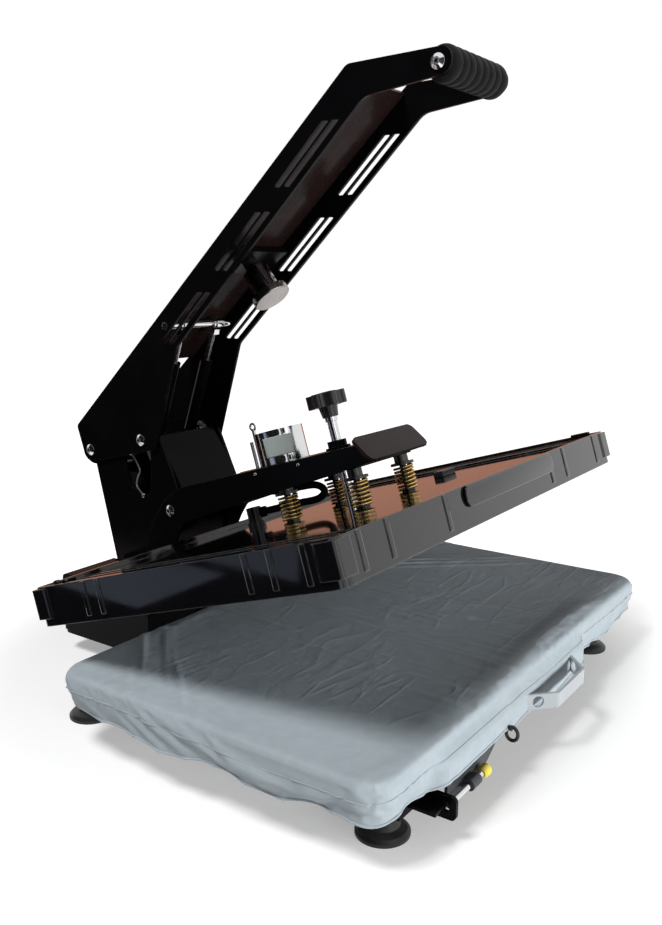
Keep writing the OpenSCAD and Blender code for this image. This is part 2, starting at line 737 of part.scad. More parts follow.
module spring_seats() {
  color(chrome) yoke_pose() at_springs() difference() {
    union() {
      post(17, 0, 0, sleeve_z, plate_z);
      post(28, 0, 0, washer_z, sleeve_z);
    }
    post(8.8, 0, 0, washer_z - 1, plate_z + 1);
  }
}

// Control panel: a folded face leaning back between the arms
panel_tilt = 14.3;
panel_foot = [227.5, 188.2];
panel_high = 80;
panel_sheet = 2;
module panel_pose() {
  yoke_pose() translate([0, panel_foot[0], panel_foot[1]]) rotate([-panel_tilt, 0, 0]) children();
}
module control_panel() {
  w = upright_in - 0.7;
  color(black_gloss) panel_pose() {
    block(-w, w, 0, panel_sheet, 0, panel_high);
    block(-w, w, 0, 10, panel_high - panel_sheet, panel_high);
    both_sides() block(w - panel_sheet, w, 0, 10, 8, panel_high);
    both_sides() block(w - 1, arm_in, 0, panel_sheet, 0, 4);
    for (x = [-38, 38], z = [16, 64]) {
      translate([x, panel_sheet - 0.5, z]) rotate([-90, 0, 0]) cylinder(d = 5, h = 5.5);
    }
  }
}
module control_board() {
  color(green) panel_pose() {
    block(-44, 44, panel_sheet + 5, panel_sheet + 6.6, 10, 70);
    block(-20, 4, panel_sheet + 6.6, panel_sheet + 14, 24, 46);
  }
}

module electromagnet() {
  color(chrome) yoke_pose() {
    difference() {
      post(magnet_d, 0, magnet_y, web_top, magnet_top);
      difference() {
        post(magnet_d - 10, 0, magnet_y, magnet_top - 3, magnet_top + 1);
        post(magnet_d - 22, 0, magnet_y, magnet_top - 4, magnet_top + 2);
      }
    }
    post(9.4, 0, magnet_y, web_z, web_top + 1);
  }
}
module eye_rod(y, top, loop) {
  post(5, 0, y, web_top, top);
  if (loop) {
    translate([0, y, top + 3]) rotate([0, 90, 0]) rotate_extrude() translate([4, 0]) circle(d = 3, $fn = 24);
  }
}
module eye_rods() {
  color(chrome) yoke_pose() {
    eye_rod(134, web_top + 49, true);
    eye_rod(142, web_top + 34, false);
  }
}
module spindle_boss() {
  color(black_gloss) yoke_pose() difference() {
    union() {
      post(23, 0, spindle_y, web_top, web_top + 10.4);
      post(30, 0, spindle_y, web_top, web_top + 3);
    }
    post(spindle_d + 2 * run_fit, 0, spindle_y, web_top - 1, web_top + 12);
  }
}
module link_arm_bolts() {
  color(chrome) yoke_pose() both_sides() {
    bar_x(link_bolt_d, arm_in, arm_out + 1, link_foot_closed);
    dome_head(15, arm_out, link_foot_closed);
  }
}

// Upper platen, hung from the yoke

platen_w = cover_w - 2 * (rib_proud + wall_t + platen_side);
platen_d = cover_d - 2 * (rib_proud + wall_t + platen_end);
module heat_platen() {
  color(aluminium) yoke_pose() translate([0, 0, press_z]) linear_extrude(platen_t)
    polygon(rounded_box(platen_w, platen_d, 8, cover_y));
}
socket_d = 24;
bolt_nut_d = 16;
module insulation() {
  z0 = press_z + platen_t;
  z1 = panel_top - panel_t - soft_gap;
  color(wool) yoke_pose() difference() {
    translate([0, 0, z0]) linear_extrude(z1 - z0) polygon(rounded_box(platen_w, platen_d, 8, cover_y));
    post(socket_d + 4, 0, spindle_y, z0 - 1, z1 + 1);
    at_springs() post(bolt_nut_d + 4, 0, 0, z0 - 1, z1 + 1);
  }
}
ridge_h = 3;
front_ribs = [-275, -232, -130, 118.5, 162, 264];
side_ribs = [-155, -118, -90, 108, 130];
module cover_ribs() {
  body_d = cover_d - 2 * rib_proud;
  y0 = cover_y - cover_d / 2;
  for (x = front_ribs) block(x - 3, x + 3, y0 + rib_proud / 2, y0 + rib_proud + 1, press_z + 6, cover_top - 1);
  both_sides() {
    for (y = side_ribs) {
      block(cover_w / 2 - rib_proud - 1, cover_w / 2 - rib_proud / 2, y - 3, y + 3, press_z + 6, cover_top - 1);
    }
    for (y = [-body_d / 2 + cover_y - rib_proud, body_d / 2 + cover_y + rib_proud - 26]) {
      translate([0, 0, press_z + 8]) linear_extrude(cover_h - 10)
        polygon(rounded([[cover_w / 2 - 26, y], [cover_w / 2, y], [cover_w / 2, y + 26], [cover_w / 2 - 26, y + 26]],
          [5, 5, 5, 5]));
    }
  }
}
module heat_cover() {
  body_w = cover_w - 2 * rib_proud;
  body_d = cover_d - 2 * rib_proud;
  color(black_gloss) yoke_pose() {
    difference() {
      union() {
        translate([0, 0, press_z]) linear_extrude(cover_h) polygon(rounded_box(body_w, body_d, 12, cover_y));
        cover_ribs();
      }
      translate([0, 0, panel_top]) linear_extrude(tray_depth + 1)
        polygon(rounded_box(body_w - 2 * wall_t, body_d - 2 * wall_t, 8, cover_y));
      translate([0, 0, press_z - 1]) linear_extrude(panel_top - panel_t - press_z + 1)
        polygon(rounded_box(body_w - 2 * wall_t, body_d - 2 * wall_t, 8, cover_y));
      post(spindle_d + 8, 0, spindle_y, panel_top - 5, panel_top + 1);
      at_springs() post(8.4, 0, 0, panel_top - 5, panel_top + 1);
      post(10, gland_at[0], gland_at[1], panel_top - 5, panel_top + 1);
    }
    both_sides() for (k = [0:3]) {
      block(cover_w / 2 - 20 - 15 * k, cover_w / 2 - 15 - 15 * k, cover_y - cover_d / 2 + 24,
        cover_y + cover_d / 2 - 24, panel_top - 0.5, panel_top + ridge_h);
    }
  }
}
gland_at = [-35, 135];
gland_z = panel_top + 16;
gland_nose = 16;
gland_turn = atan2(-25, 15);
lead_d = 9;
module cable_gland() {
  color(black_matte) yoke_pose() translate([gland_at[0], gland_at[1], 0]) {
    post(18, 0, 0, panel_top, panel_top + 24);
    post(22, 0, 0, panel_top, panel_top + 6);
    translate([0, 0, gland_z]) rotate([0, 0, gland_turn]) rotate([0, 90, 0]) cylinder(d = 13, h = gland_nose);
  }
}
lead_start = [gland_at[0] + gland_nose * cos(gland_turn), gland_at[1] + gland_nose * sin(gland_turn), gland_z];
lead_route = [
  lead_start, lead_start + 9 * [cos(gland_turn), sin(gland_turn), 0],
  [-8, 86, 142], [0, 60, 142], [0, 48, 150], [0, 60, 159], [-4, 90, 161], [-9, 128, 164],
  [-10, 148, 174], [-10, 150, web_z - 8], [-10, 150, web_z - soft_gap]
];
module heater_lead() {
  color(black_matte) yoke_pose() tube(smooth_path(lead_route, 4), lead_d, 8, [0, 0, 1]);
}
module suspension_bolts() {
  color(steel) yoke_pose() at_springs() {
    post(8, 0, 0, panel_top - panel_t - 6, plate_z + 13);
    post(14, 0, 0, panel_top - panel_t - 6, panel_top - panel_t);
    post(bolt_nut_d, 0, 0, panel_top, panel_top + 3);
    post(13, 0, 0, plate_z + spring_plate_t + 4.5, plate_z + 12);
  }
}
// Compression spring: one helix of round wire between its seats
spring_z0 = panel_top + soft_gap + wire_d / 2;
spring_z1 = washer_z - soft_gap - wire_d / 2;
curl_rings = 8;
function curl(turns, d, z0, z1) =
  [for (i = [0:turns * curl_rings])
    let (a = 360 * i / curl_rings)
    [d / 2 * cos(a), d / 2 * sin(a), z0 + (z1 - z0) * i / (turns * curl_rings)]];
spring_gap = (spring_z1 - spring_z0) / coil_turns - wire_d;
module suspension_springs() {
  echo(least_gap_between_turns = spring_gap);
  color(brass) yoke_pose() at_springs()
    tube(curl(coil_turns, coil_d, spring_z0, spring_z1), wire_d, 6, [1, 0, 0]);
}
module spindle_socket() {
  z0 = press_z + platen_t;
  color(steel) yoke_pose() difference() {
    post(socket_d, 0, spindle_y, z0, z0 + 12);
    post(spindle_d + 2 * run_fit, 0, spindle_y, z0 + 2, z0 + 13);
  }
}

// Pressure knob

hub_z = press_z + 142.5;
module pressure_spindle() {
  color(chrome) yoke_pose() {
    post(spindle_d, 0, spindle_y, press_z + platen_t + 2 + face_gap, hub_z);
    post(spindle_d + 3, 0, spindle_y, hub_z - 5, hub_z);
  }
}
module pressure_knob() {
  lobes = 6;
  lobe_d = knob_d * 0.26;
  hub_h = 13;
  color(black_matte) yoke_pose() translate([0, spindle_y, hub_z]) {
    cylinder(d1 = 19, d2 = 23, h = hub_h);
    translate([0, 0, hub_h]) {
      linear_extrude(knob_h) difference() {
        union() {
          circle(d = knob_d * 0.8);
          for (k = [0:lobes - 1]) rotate(360 * k / lobes) translate([(knob_d - lobe_d) / 2, 0]) circle(d = lobe_d);
        }
        for (k = [0:lobes - 1]) {
          rotate(360 * (k + 0.5) / lobes) translate([knob_d * 0.5, 0]) circle(d = knob_d * 0.28);
        }
      }
      translate([0, 0, knob_h]) cylinder(d1 = knob_d * 0.55, d2 = knob_d * 0.45, h = 1);
    }
  }
}

// Lever

grip_at = [-grip_front, grip_z];
slot_groups = 3;
slot_start = 26.5;
slot_len = 91;
slot_pitch = 126.7;
slot_inset = [10, 19];
// A slot along the cheek's front edge whose ends are cut level
module level_slot(start, inset) {
  rise = abs(edge_dir[1]);
  upper = bend + edge_dir * start + [inset / rise, 0];
  lower = upper + edge_dir * slot_len;
  half = [slot_w / rise / 2, 0];
  polygon(rounded([upper - half, upper + half, lower + half, lower - half], [1, 1, 1, 1]));
}
module lever_cheek(x) {
  color(black_gloss) placed() difference() {
    union() {
      plate_x(x, sheet_t) polygon(rounded(
        [grip_at + [-14, 14.1], rear_top, rear_corner, [447, 246], lever_pivot + [-1.5, -15.9], [330, 257],
          [308, 262], knee, bend, grip_at + [-14, -10.5]],
        [12, 12, 6, 6, 0, 4, 8, 14, 24, 12]));
      bar_x(32, x, x + sheet_t, lever_pivot);
    }
    bore_x(bolt_d + 2 * run_fit, lever_pivot);
    bore_x(link_bolt_d, link_top);
    bore_x(9, gas_top);
    bore_x(8.4, grip_at);
    plate_x(x - 1, sheet_t + 2) for (g = [0:slot_groups - 1], inset = slot_inset) {
      level_slot(slot_start + g * slot_pitch, inset);
    }
  }
}
module lever_cheek_left() lever_cheek(-arm_out);
module lever_cheek_right() lever_cheek(arm_in);
web_start = 10;
web_len = 455;
module lever_web() {
  color(black_gloss) placed() translate([0, rear_top[0], rear_top[1]]) rotate([rear_angle, 0, 0])
    block(-arm_in, arm_in, web_start, web_start + web_len, -sheet_t - 1, -1);
}

// The catch hangs square under the web, drawn closed above the magnet
catch_z = magnet_top + 0.4;
disc_t = 10;
sleeve_top = 42;
crossbar_z = 55;
crossbar_t = 8;
module armature() {
  color(chrome) lever_pose() translate([0, magnet_y, catch_z]) difference() {
    union() {
      cylinder(d1 = disc_d - 2, d2 = disc_d, h = 1);
      translate([0, 0, 1]) cylinder(d = disc_d, h = disc_t - 2);
      translate([0, 0, disc_t - 1]) cylinder(d1 = disc_d, d2 = 36, h = 3);
      translate([0, 0, disc_t]) cylinder(d = 32, h = sleeve_top - disc_t);
    }
    translate([0, 0, 20]) cylinder(d = 18 + 2 * run_fit, h = 40);
  }
}
module armature_stem() {
  color(black_matte) lever_pose() translate([0, magnet_y, catch_z]) {
    translate([0, 0, 20.3]) cylinder(d = 18, h = crossbar_z - 20.3);
    translate([0, 0, crossbar_z - 1]) cylinder(d = 10, h = crossbar_t + 2);
    translate([0, 0, crossbar_z + crossbar_t]) cylinder(d = 17, h = 4.5, $fn = 6);
  }
}
module armature_crossbar() {
  color(black_gloss) lever_pose() difference() {
    block(-arm_in, arm_in, magnet_y - 20, magnet_y + 20, catch_z + crossbar_z, catch_z + crossbar_z + crossbar_t);
    post(10.2, 0, magnet_y, catch_z + crossbar_z - 1, catch_z + crossbar_z + crossbar_t + 1);
  }
}

module grip_bar() {
  color(steel) placed() difference() {
    bar_x(16, -arm_in, arm_in, grip_at);
    both_sides() bar_x(8.4, arm_in - 32, arm_in + 1, grip_at);
  }
}
grip_rib_pitch = 14;
module grip_foam() {
  ribs = 8;
  color(black_matte) placed() translate([0, grip_at[0], grip_at[1]]) rotate([0, 90, 0]) rotate_extrude()
    polygon(concat(
      [[8 + soft_gap, -arm_in + 1], [grip_d / 2 - 4, -arm_in + 1]],
      [for (k = [0:ribs - 1]) let (c = (k - (ribs - 1) / 2) * grip_rib_pitch)
        each [[grip_d / 2 - 1, c - 5], [grip_d / 2, c - 3], [grip_d / 2, c + 3], [grip_d / 2 - 1, c + 5],
          [grip_d / 2 - 2.5, c + 6.5]]],
      [[8 + soft_gap, arm_in - 1]]));
}
module grip_screws() {
  color(chrome) placed() both_sides() {
    bar_x(8, arm_in - 30, arm_out + 1, grip_at);
    dome_head(15, arm_out, grip_at);
  }
}
module link_top_bolts() {
  color(chrome) placed() both_sides() {
    bar_x(link_bolt_d, link_in - 4, arm_out + 1, link_top);
    bar_x(link_bolt_d + 3, link_in + link_t + face_gap, arm_in, link_top);
    bar_x(14, link_in - 5, link_in - face_gap, link_top);
    dome_head(15, arm_out, link_top);
  }
}
module gas_spring_shaft() {
  color(chrome) placed() {
    bar_x(10, -arm_in, arm_in, gas_top);
    both_sides() {
      bar_x(9, arm_in - 1, arm_out, gas_top);
      bar_x(15, gas_x + 5.3, gas_x + 9, gas_top);
      bar_x(15, gas_x - 9, gas_x - 5.3, gas_top);
    }
  }
}

// Toggle links and gas springs

module toggle_links() {
  a = atan2(link_foot[1] - link_top[1], link_foot[0] - link_top[0]);
  color(steel) placed() both_sides() {
    difference() {
      plate_x(link_in, link_t) slot2d(link_top, a, norm(link_foot - link_top), link_w);
      bar_x(link_bolt_d + 2 * run_fit, link_in - 1, link_in + link_t + 1, link_top);
    }
    bar_x(foot_pin_d, link_in, arm_in - 0.4, link_foot);
    bar_x(15, link_in - 2.5, link_in, link_foot);
  }
}

gas_len = norm(gas_foot - gas_top);
gas_angle = atan2(gas_foot[1] - gas_top[1], gas_foot[0] - gas_top[0]);
gas_show = 36;
fork_len = 14;
cylinder_top = fork_len + gas_show;
rod_reach = 14;
cylinder_bore = 62;
eye_w = 10;
// Local frame of a gas spring: z runs from the lever pin down to the foot
module along_gas(x) {
  placed() translate([x, gas_top[0], gas_top[1]]) rotate([gas_angle - 90, 0, 0]) children();
}
module gas_axis() {
  for (x = [-gas_x, gas_x]) along_gas(x) children();
}
module gas_rods() {
  color(chrome) gas_axis() difference() {
    union() {
      rotate([0, 90, 0]) cylinder(d = 18, h = eye_w, center = true);
      block(-eye_w / 2, eye_w / 2, -6, 6, 4, fork_len);
      cylinder(d = rod_d, h = cylinder_top + rod_reach);
    }
    rotate([0, 90, 0]) cylinder(d = 10 + 2 * run_fit, h = eye_w + 2, center = true);
  }
}
module gas_cylinders() {
  color(black_gloss) gas_axis() {
    difference() {
      union() {
        translate([0, 0, cylinder_top]) cylinder(d = gas_d, h = gas_len - cylinder_top - 13);
        translate([0, 0, gas_len - 14]) cylinder(d = 9, h = 8);
        translate([0, 0, gas_len]) rotate([0, 90, 0]) cylinder(d = 18, h = eye_w, center = true);
      }
      translate([0, 0, cylinder_top - 1]) cylinder(d = rod_d + 2 * run_fit, h = cylinder_bore);
    }
  }
}

base_frame();
rubber_feet();
upright_left();
upright_right();
gas_spring_bracket();
housing_left();
housing_right();
power_inlet();
switch_bezel();
power_rocker();
slide_channels();
latch_keeper();
yoke_pivot_bolts();
lever_pivot_bolts();
carriage();
slide_runners();
lower_platen();
silicone_pad();
pad_cover();
drawer_handle();
latch_plate();
latch_pin();
latch_knob();
yoke_arm_left();
yoke_arm_right();
yoke_web();
yoke_front_flange();
spring_plates();
spring_seats();
control_panel();
control_board();
electromagnet();
eye_rods();
spindle_boss();
link_arm_bolts();
heat_platen();
insulation();
heat_cover();
cable_gland();
heater_lead();
suspension_bolts();
suspension_springs();
spindle_socket();
pressure_spindle();
pressure_knob();
lever_cheek_left();
lever_cheek_right();
lever_web();
armature_crossbar();
armature_stem();
armature();
grip_bar();
grip_foam();
grip_screws();
link_top_bolts();
gas_spring_shaft();
toggle_links();
gas_rods();
gas_cylinders();
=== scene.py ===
"""Finishes, cloth cover, wound springs and small fittings of the slide-out heat press."""

import json
import math

import bmesh
import bpy
import numpy as np
from mathutils import Matrix, Vector


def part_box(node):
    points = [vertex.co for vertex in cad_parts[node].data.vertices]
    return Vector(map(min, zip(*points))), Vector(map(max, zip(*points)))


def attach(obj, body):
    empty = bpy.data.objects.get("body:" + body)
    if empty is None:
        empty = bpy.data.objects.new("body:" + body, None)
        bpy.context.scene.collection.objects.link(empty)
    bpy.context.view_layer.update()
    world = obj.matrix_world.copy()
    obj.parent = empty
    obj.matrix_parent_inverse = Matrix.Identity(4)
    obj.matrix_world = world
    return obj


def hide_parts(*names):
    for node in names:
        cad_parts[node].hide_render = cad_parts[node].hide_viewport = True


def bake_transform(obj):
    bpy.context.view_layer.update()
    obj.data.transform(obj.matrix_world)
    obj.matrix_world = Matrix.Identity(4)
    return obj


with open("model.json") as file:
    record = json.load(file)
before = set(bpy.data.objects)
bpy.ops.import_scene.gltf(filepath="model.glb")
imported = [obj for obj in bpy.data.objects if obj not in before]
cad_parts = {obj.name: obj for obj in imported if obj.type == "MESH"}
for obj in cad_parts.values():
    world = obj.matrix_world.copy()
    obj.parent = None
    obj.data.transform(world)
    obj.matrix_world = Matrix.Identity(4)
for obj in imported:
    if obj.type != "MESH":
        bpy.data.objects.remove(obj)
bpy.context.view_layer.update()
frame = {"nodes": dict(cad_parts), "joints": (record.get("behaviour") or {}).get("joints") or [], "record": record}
nodes = frame["nodes"]
scene = bpy.context.scene

# Places are in mm, x and y from the centre of the lower platen and z from the floor,
# with the upper half closed
MM = 0.001
table_low, table_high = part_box("lower_platen")
TABLE_Y = (table_low.y + table_high.y) / 2


def joint(name):
    return next(j for j in frame["joints"] if j["name"] == name)


def place(x, y, z):
    return Vector((x * MM, y * MM + TABLE_Y, z * MM))


hinge = joint("yoke_hinge")
HINGE_AT = Matrix.Translation(hinge["pos_m"])
OPEN_TURN = -math.radians(hinge["range_deg"][1])
YOKE = HINGE_AT @ Matrix.Rotation(OPEN_TURN, 4, "X") @ HINGE_AT.inverted()


def on_yoke(x, y, z):
    """A place on the closed upper half, as it stands swung open."""
    return YOKE @ place(x, y, z)


def at_yoke(x, y, z, turn=Matrix.Identity(4)):
    """A frame in mm at a place on the closed upper half, swung open with it."""
    return YOKE @ Matrix.Translation(place(x, y, z)) @ turn @ Matrix.Scale(MM, 4)


def at_table(x, y, z, turn=Matrix.Identity(4)):
    return Matrix.Translation(place(x, y, z)) @ turn @ Matrix.Scale(MM, 4)


TO_LEFT = Matrix.Rotation(math.radians(-90), 4, "Y")
TO_RIGHT = Matrix.Rotation(math.radians(90), 4, "Y")
TO_FRONT = Matrix.Rotation(math.radians(90), 4, "X")

# Heights and sizes shared with the frame, in mm
CLOTH_W, CLOTH_D, CLOTH_TOP = 640, 394, 86
LATCH_X = -166
TRAY_FLOOR = 126
COVER_TOP = 132
COVER_Y, COVER_D = 12.7, 404
COVER_FRONT = COVER_Y - COVER_D / 2
ARM_OUT = 62
WEB_TOP = 194.6
MAGNET_Y = 94.8
MAGNET_R = 30


# Material nodes


def add_node(tree, kind, inputs=None, **settings):
    """A shader node whose inputs are values or sockets of other nodes."""
    made = tree.nodes.new("ShaderNode" + kind)
    for name, value in settings.items():
        setattr(made, name, value)
    for name, value in (inputs or {}).items():
        if isinstance(value, bpy.types.NodeSocket):
            tree.links.new(value, made.inputs[name])
        else:
            made.inputs[name].default_value = value
    return made


def bare_tree(owner):
    """The emptied node tree of a new material or world."""
    owner.use_nodes = True
    owner.node_tree.nodes.clear()
    return owner.node_tree


def show(tree, surface, kind="Material"):
    tree.links.new(surface, add_node(tree, "Output" + kind).inputs["Surface"])


def new_material(name, **values):
    """A material with one Principled shader, and its uniform values on the shader's own sockets."""
    material = bpy.data.materials.new(name)
    tree = bare_tree(material)
    shader = add_node(tree, "BsdfPrincipled")
    for socket, value in values.items():
        shader.inputs[socket.replace("_", " ")].default_value = value
    show(tree, shader.outputs["BSDF"])
    where = add_node(tree, "TexCoord").outputs["Object"]
    return material, tree, shader, where


def noise(tree, where, scale, detail=3, roughness=0.5, distortion=0):
    inputs = {
        "Vector": where,
        "Scale": scale,
        "Detail": detail,
        "Roughness": roughness,
        "Distortion": distortion,
    }
    return add_node(tree, "TexNoise", inputs).outputs["Fac"]


def spread(tree, value, low, high, to_low=0.0, to_high=1.0):
    made = add_node(
        tree,
        "MapRange",
        {"Value": value, "From Min": low, "From Max": high, "To Min": to_low, "To Max": to_high},
        interpolation_type="SMOOTHSTEP",
    )
    return made.outputs["Result"]


def blend_colours(tree, share, first, second):
    made = add_node(tree, "Mix", data_type="RGBA")
    sockets = {"Factor": 0, "A": 6, "B": 7}
    for name, value in (("Factor", share), ("A", first), ("B", second)):
        socket = made.inputs[sockets[name]]
        if isinstance(value, bpy.types.NodeSocket):
            tree.links.new(value, socket)
        elif name == "Factor":
            socket.default_value = value
        else:
            socket.default_value = (*value, 1)
    return made.outputs[2]


def combine(tree, operation, first, second):
    made = add_node(tree, "Math", operation=operation)
    for socket, value in zip(made.inputs, (first, second)):
        if isinstance(value, bpy.types.NodeSocket):
            tree.links.new(value, socket)
        else:
            socket.default_value = value
    return made.outputs[0]


def emboss(tree, height, distance, strength=1.0, normal=None):
    inputs = {"Height": height, "Distance": distance, "Strength": strength}
    if normal is not None:
        inputs["Normal"] = normal
    return add_node(tree, "Bump", inputs).outputs["Normal"]


def soft_edges(tree, radius):
    return add_node(tree, "Bevel", {"Radius": radius}, samples=6).outputs["Normal"]


def edge_share(tree, rounded, low=0.03, high=0.35):
    """1 along the worn edges, where the rounded normal leaves the flat one, and 0 elsewhere."""
    flat = add_node(tree, "NewGeometry").outputs["Normal"]
    along = add_node(tree, "VectorMath", operation="DOT_PRODUCT")
    tree.links.new(rounded, along.inputs[0])
    tree.links.new(flat, along.inputs[1])
    return spread(tree, combine(tree, "SUBTRACT", 1, along.outputs["Value"]), low, high)


def ridges(tree, where, scale, distortion):
    """Narrow crests that wander through the noise."""
    centred = combine(tree, "SUBTRACT", noise(tree, where, scale, 2, 0.45, distortion), 0.5)
    return spread(tree, combine(tree, "ABSOLUTE", centred, 0), 0, 0.07, 1, 0)


def stretched(tree, where, scale):
    return add_node(tree, "Mapping", {"Vector": where, "Scale": scale}).outputs["Vector"]


# Materials

# Noise scales are per metre, and tones are linear
WORN_BLACK = (0.07, 0.07, 0.075)


def paint(name, dark, light, gloss, rough, peel, specular=0.5, coat=0.0, wear=WORN_BLACK, edge=0.7):
    """Sprayed paint: cloudy tone, smudged gloss, fine orange peel and edges rubbed lighter."""
    material, tree, shader, where = new_material(name, Specular_IOR_Level=specular, Coat_Weight=coat)
    shader.inputs["Coat Roughness"].default_value = 0.06
    rounded = soft_edges(tree, edge * MM)
    tone = blend_colours(tree, noise(tree, where, 26, 4), dark, light)
    patchy = spread(tree, noise(tree, where, 70, 3), 0.45, 0.7)
    rubbed = combine(tree, "MULTIPLY", edge_share(tree, rounded), patchy)
    tree.links.new(blend_colours(tree, rubbed, tone, wear), shader.inputs["Base Color"])
    smudges = spread(tree, noise(tree, where, 18, 5, 0.6, 0.4), 0.35, 0.7, gloss, rough)
    specks = spread(tree, noise(tree, where, 900, 1), 0.68, 0.74, 0, 0.16)
    tree.links.new(combine(tree, "ADD", smudges, specks), shader.inputs["Roughness"])
    ripple = noise(tree, where, 420, 2)
    tree.links.new(emboss(tree, ripple, peel * MM, 0.35, rounded), shader.inputs["Normal"])
    return material


def bright_metal(name, tone, tint, gloss, rough, specks=0.0):
    """Plated metal: fine turning marks, small pits and a faint change of tone."""
    material, tree, shader, where = new_material(name, Metallic=1.0)
    rounded = soft_edges(tree, 0.4 * MM)
    cloud = noise(tree, where, 45, 4, 0.6)
    tree.links.new(blend_colours(tree, cloud, tone, tint), shader.inputs["Base Color"])
    marks = noise(tree, stretched(tree, where, (1, 1, 14)), 160, 3)
    tree.links.new(spread(tree, marks, 0.3, 0.75, gloss, rough), shader.inputs["Roughness"])
    pits = spread(tree, noise(tree, where, 700, 2), 0.7, 0.8, 0, specks)
    height = combine(tree, "SUBTRACT", combine(tree, "MULTIPLY", marks, 0.15), pits)
    tree.links.new(emboss(tree, height, 0.05 * MM, 0.6, rounded), shader.inputs["Normal"])
    return material


def moulded(name, dark, light, gloss, rough, grain, specular=0.5):
    """Moulded plastic or rubber with a fine grain."""
    material, tree, shader, where = new_material(name, Specular_IOR_Level=specular)
    rounded = soft_edges(tree, 0.6 * MM)
    tone = blend_colours(tree, noise(tree, where, 60, 4), dark, light)
    tree.links.new(tone, shader.inputs["Base Color"])
    smudges = spread(tree, noise(tree, where, 35, 4), 0.3, 0.7, gloss, rough)
    tree.links.new(smudges, shader.inputs["Roughness"])
    skin = noise(tree, where, 1100, 2)
    tree.links.new(emboss(tree, skin, grain * MM, 0.5, rounded), shader.inputs["Normal"])
    return material


def foam_skin():
    """Closed-cell foam: matt, with a patchy dusty tone and open pores."""
    material, tree, shader, where = new_material("foam_skin", Specular_IOR_Level=0.12, Sheen_Weight=0.04)
    shader.inputs["Sheen Roughness"].default_value = 0.6
    dust = noise(tree, where, 90, 5, 0.7)
    tone = blend_colours(tree, dust, (0.003, 0.003, 0.0035), (0.011, 0.011, 0.012))
    tree.links.new(tone, shader.inputs["Base Color"])
    rough = spread(tree, noise(tree, where, 40, 3), 0.3, 0.7, 0.72, 0.95)
    tree.links.new(rough, shader.inputs["Roughness"])
    pores = add_node(tree, "TexVoronoi", {"Vector": where, "Scale": 1500.0}).outputs["Distance"]
    tree.links.new(emboss(tree, pores, 0.25 * MM, 0.7), shader.inputs["Normal"])
    return material


def coated_cloth(name, crease_share=1.0):
    """Silver-coated cloth: plain weave, long and short creases in patches, and a worn tone."""
    material, tree, shader, where = new_material(name, Specular_IOR_Level=0.1)
    broad = noise(tree, where, 7, 3, 0.5, 0.6)
    fine = noise(tree, where, 85, 5, 0.65)
    tone = blend_colours(tree, broad, (0.31, 0.36, 0.39), (0.385, 0.44, 0.475))
    tone = blend_colours(tree, spread(tree, fine, 0.35, 0.75, 0, 0.3), tone, (0.45, 0.5, 0.53))
    thread = {"Vector": where, "Scale": 260.0, "Distortion": 0.4, "Detail": 1.0}
    warp, weft = (
        add_node(tree, "TexWave", thread, bands_direction=direction).outputs["Fac"] for direction in "XY"
    )
    weave = combine(tree, "MULTIPLY", warp, weft)
    tone = blend_colours(tree, spread(tree, weave, 0, 1, 0, 0.1), tone, (0.55, 0.59, 0.6))
    tree.links.new(tone, shader.inputs["Base Color"])
    tree.links.new(spread(tree, broad, 0.3, 0.7, 0.42, 0.6), shader.inputs["Roughness"])
    patches = spread(tree, noise(tree, where, 9, 2), 0.4, 0.6, 0.25, crease_share)
    long_folds = ridges(tree, stretched(tree, where, (0.6, 2, 1)), 17, 0.3)
    short_folds = ridges(tree, stretched(tree, where, (1.5, 0.8, 1)), 41, 0.3)
    creases = combine(tree, "ADD", long_folds, combine(tree, "MULTIPLY", short_folds, 0.45))
    height = combine(tree, "MULTIPLY", creases, patches)
    height = combine(tree, "ADD", height, combine(tree, "MULTIPLY", fine, 0.9))
    crumple = emboss(tree, height, 0.9 * MM, 0.32)
    tree.links.new(emboss(tree, weave, 0.12 * MM, 0.35, crumple), shader.inputs["Normal"])
    return material


def wool_mat():
    material, tree, shader, where = new_material("ceramic_wool", Specular_IOR_Level=0.1)
    fibres = noise(tree, stretched(tree, where, (1, 1, 6)), 300, 5, 0.7)
    tone = blend_colours(tree, fibres, (0.55, 0.52, 0.43), (0.8, 0.77, 0.68))
    tree.links.new(tone, shader.inputs["Base Color"])
    shader.inputs["Roughness"].default_value = 0.95
    tree.links.new(emboss(tree, fibres, 0.6 * MM, 0.8), shader.inputs["Normal"])
    return material


def board_mat():
    """Circuit board: solder mask with copper tracks and pads under it."""
    material, tree, shader, where = new_material("board", Specular_IOR_Level=0.5)
    tracks = add_node(tree, "TexBrick", {"Vector": where, "Scale": 120.0, "Mortar Size": 0.03})
    tone = blend_colours(tree, tracks.outputs["Fac"], (0.01, 0.09, 0.035), (0.03, 0.2, 0.08))
    tree.links.new(tone, shader.inputs["Base Color"])
    rough = spread(tree, noise(tree, where, 200, 2), 0.3, 0.7, 0.25, 0.4)
    tree.links.new(rough, shader.inputs["Roughness"])
    tree.links.new(emboss(tree, tracks.outputs["Fac"], 0.08 * MM, 0.5), shader.inputs["Normal"])
    return material


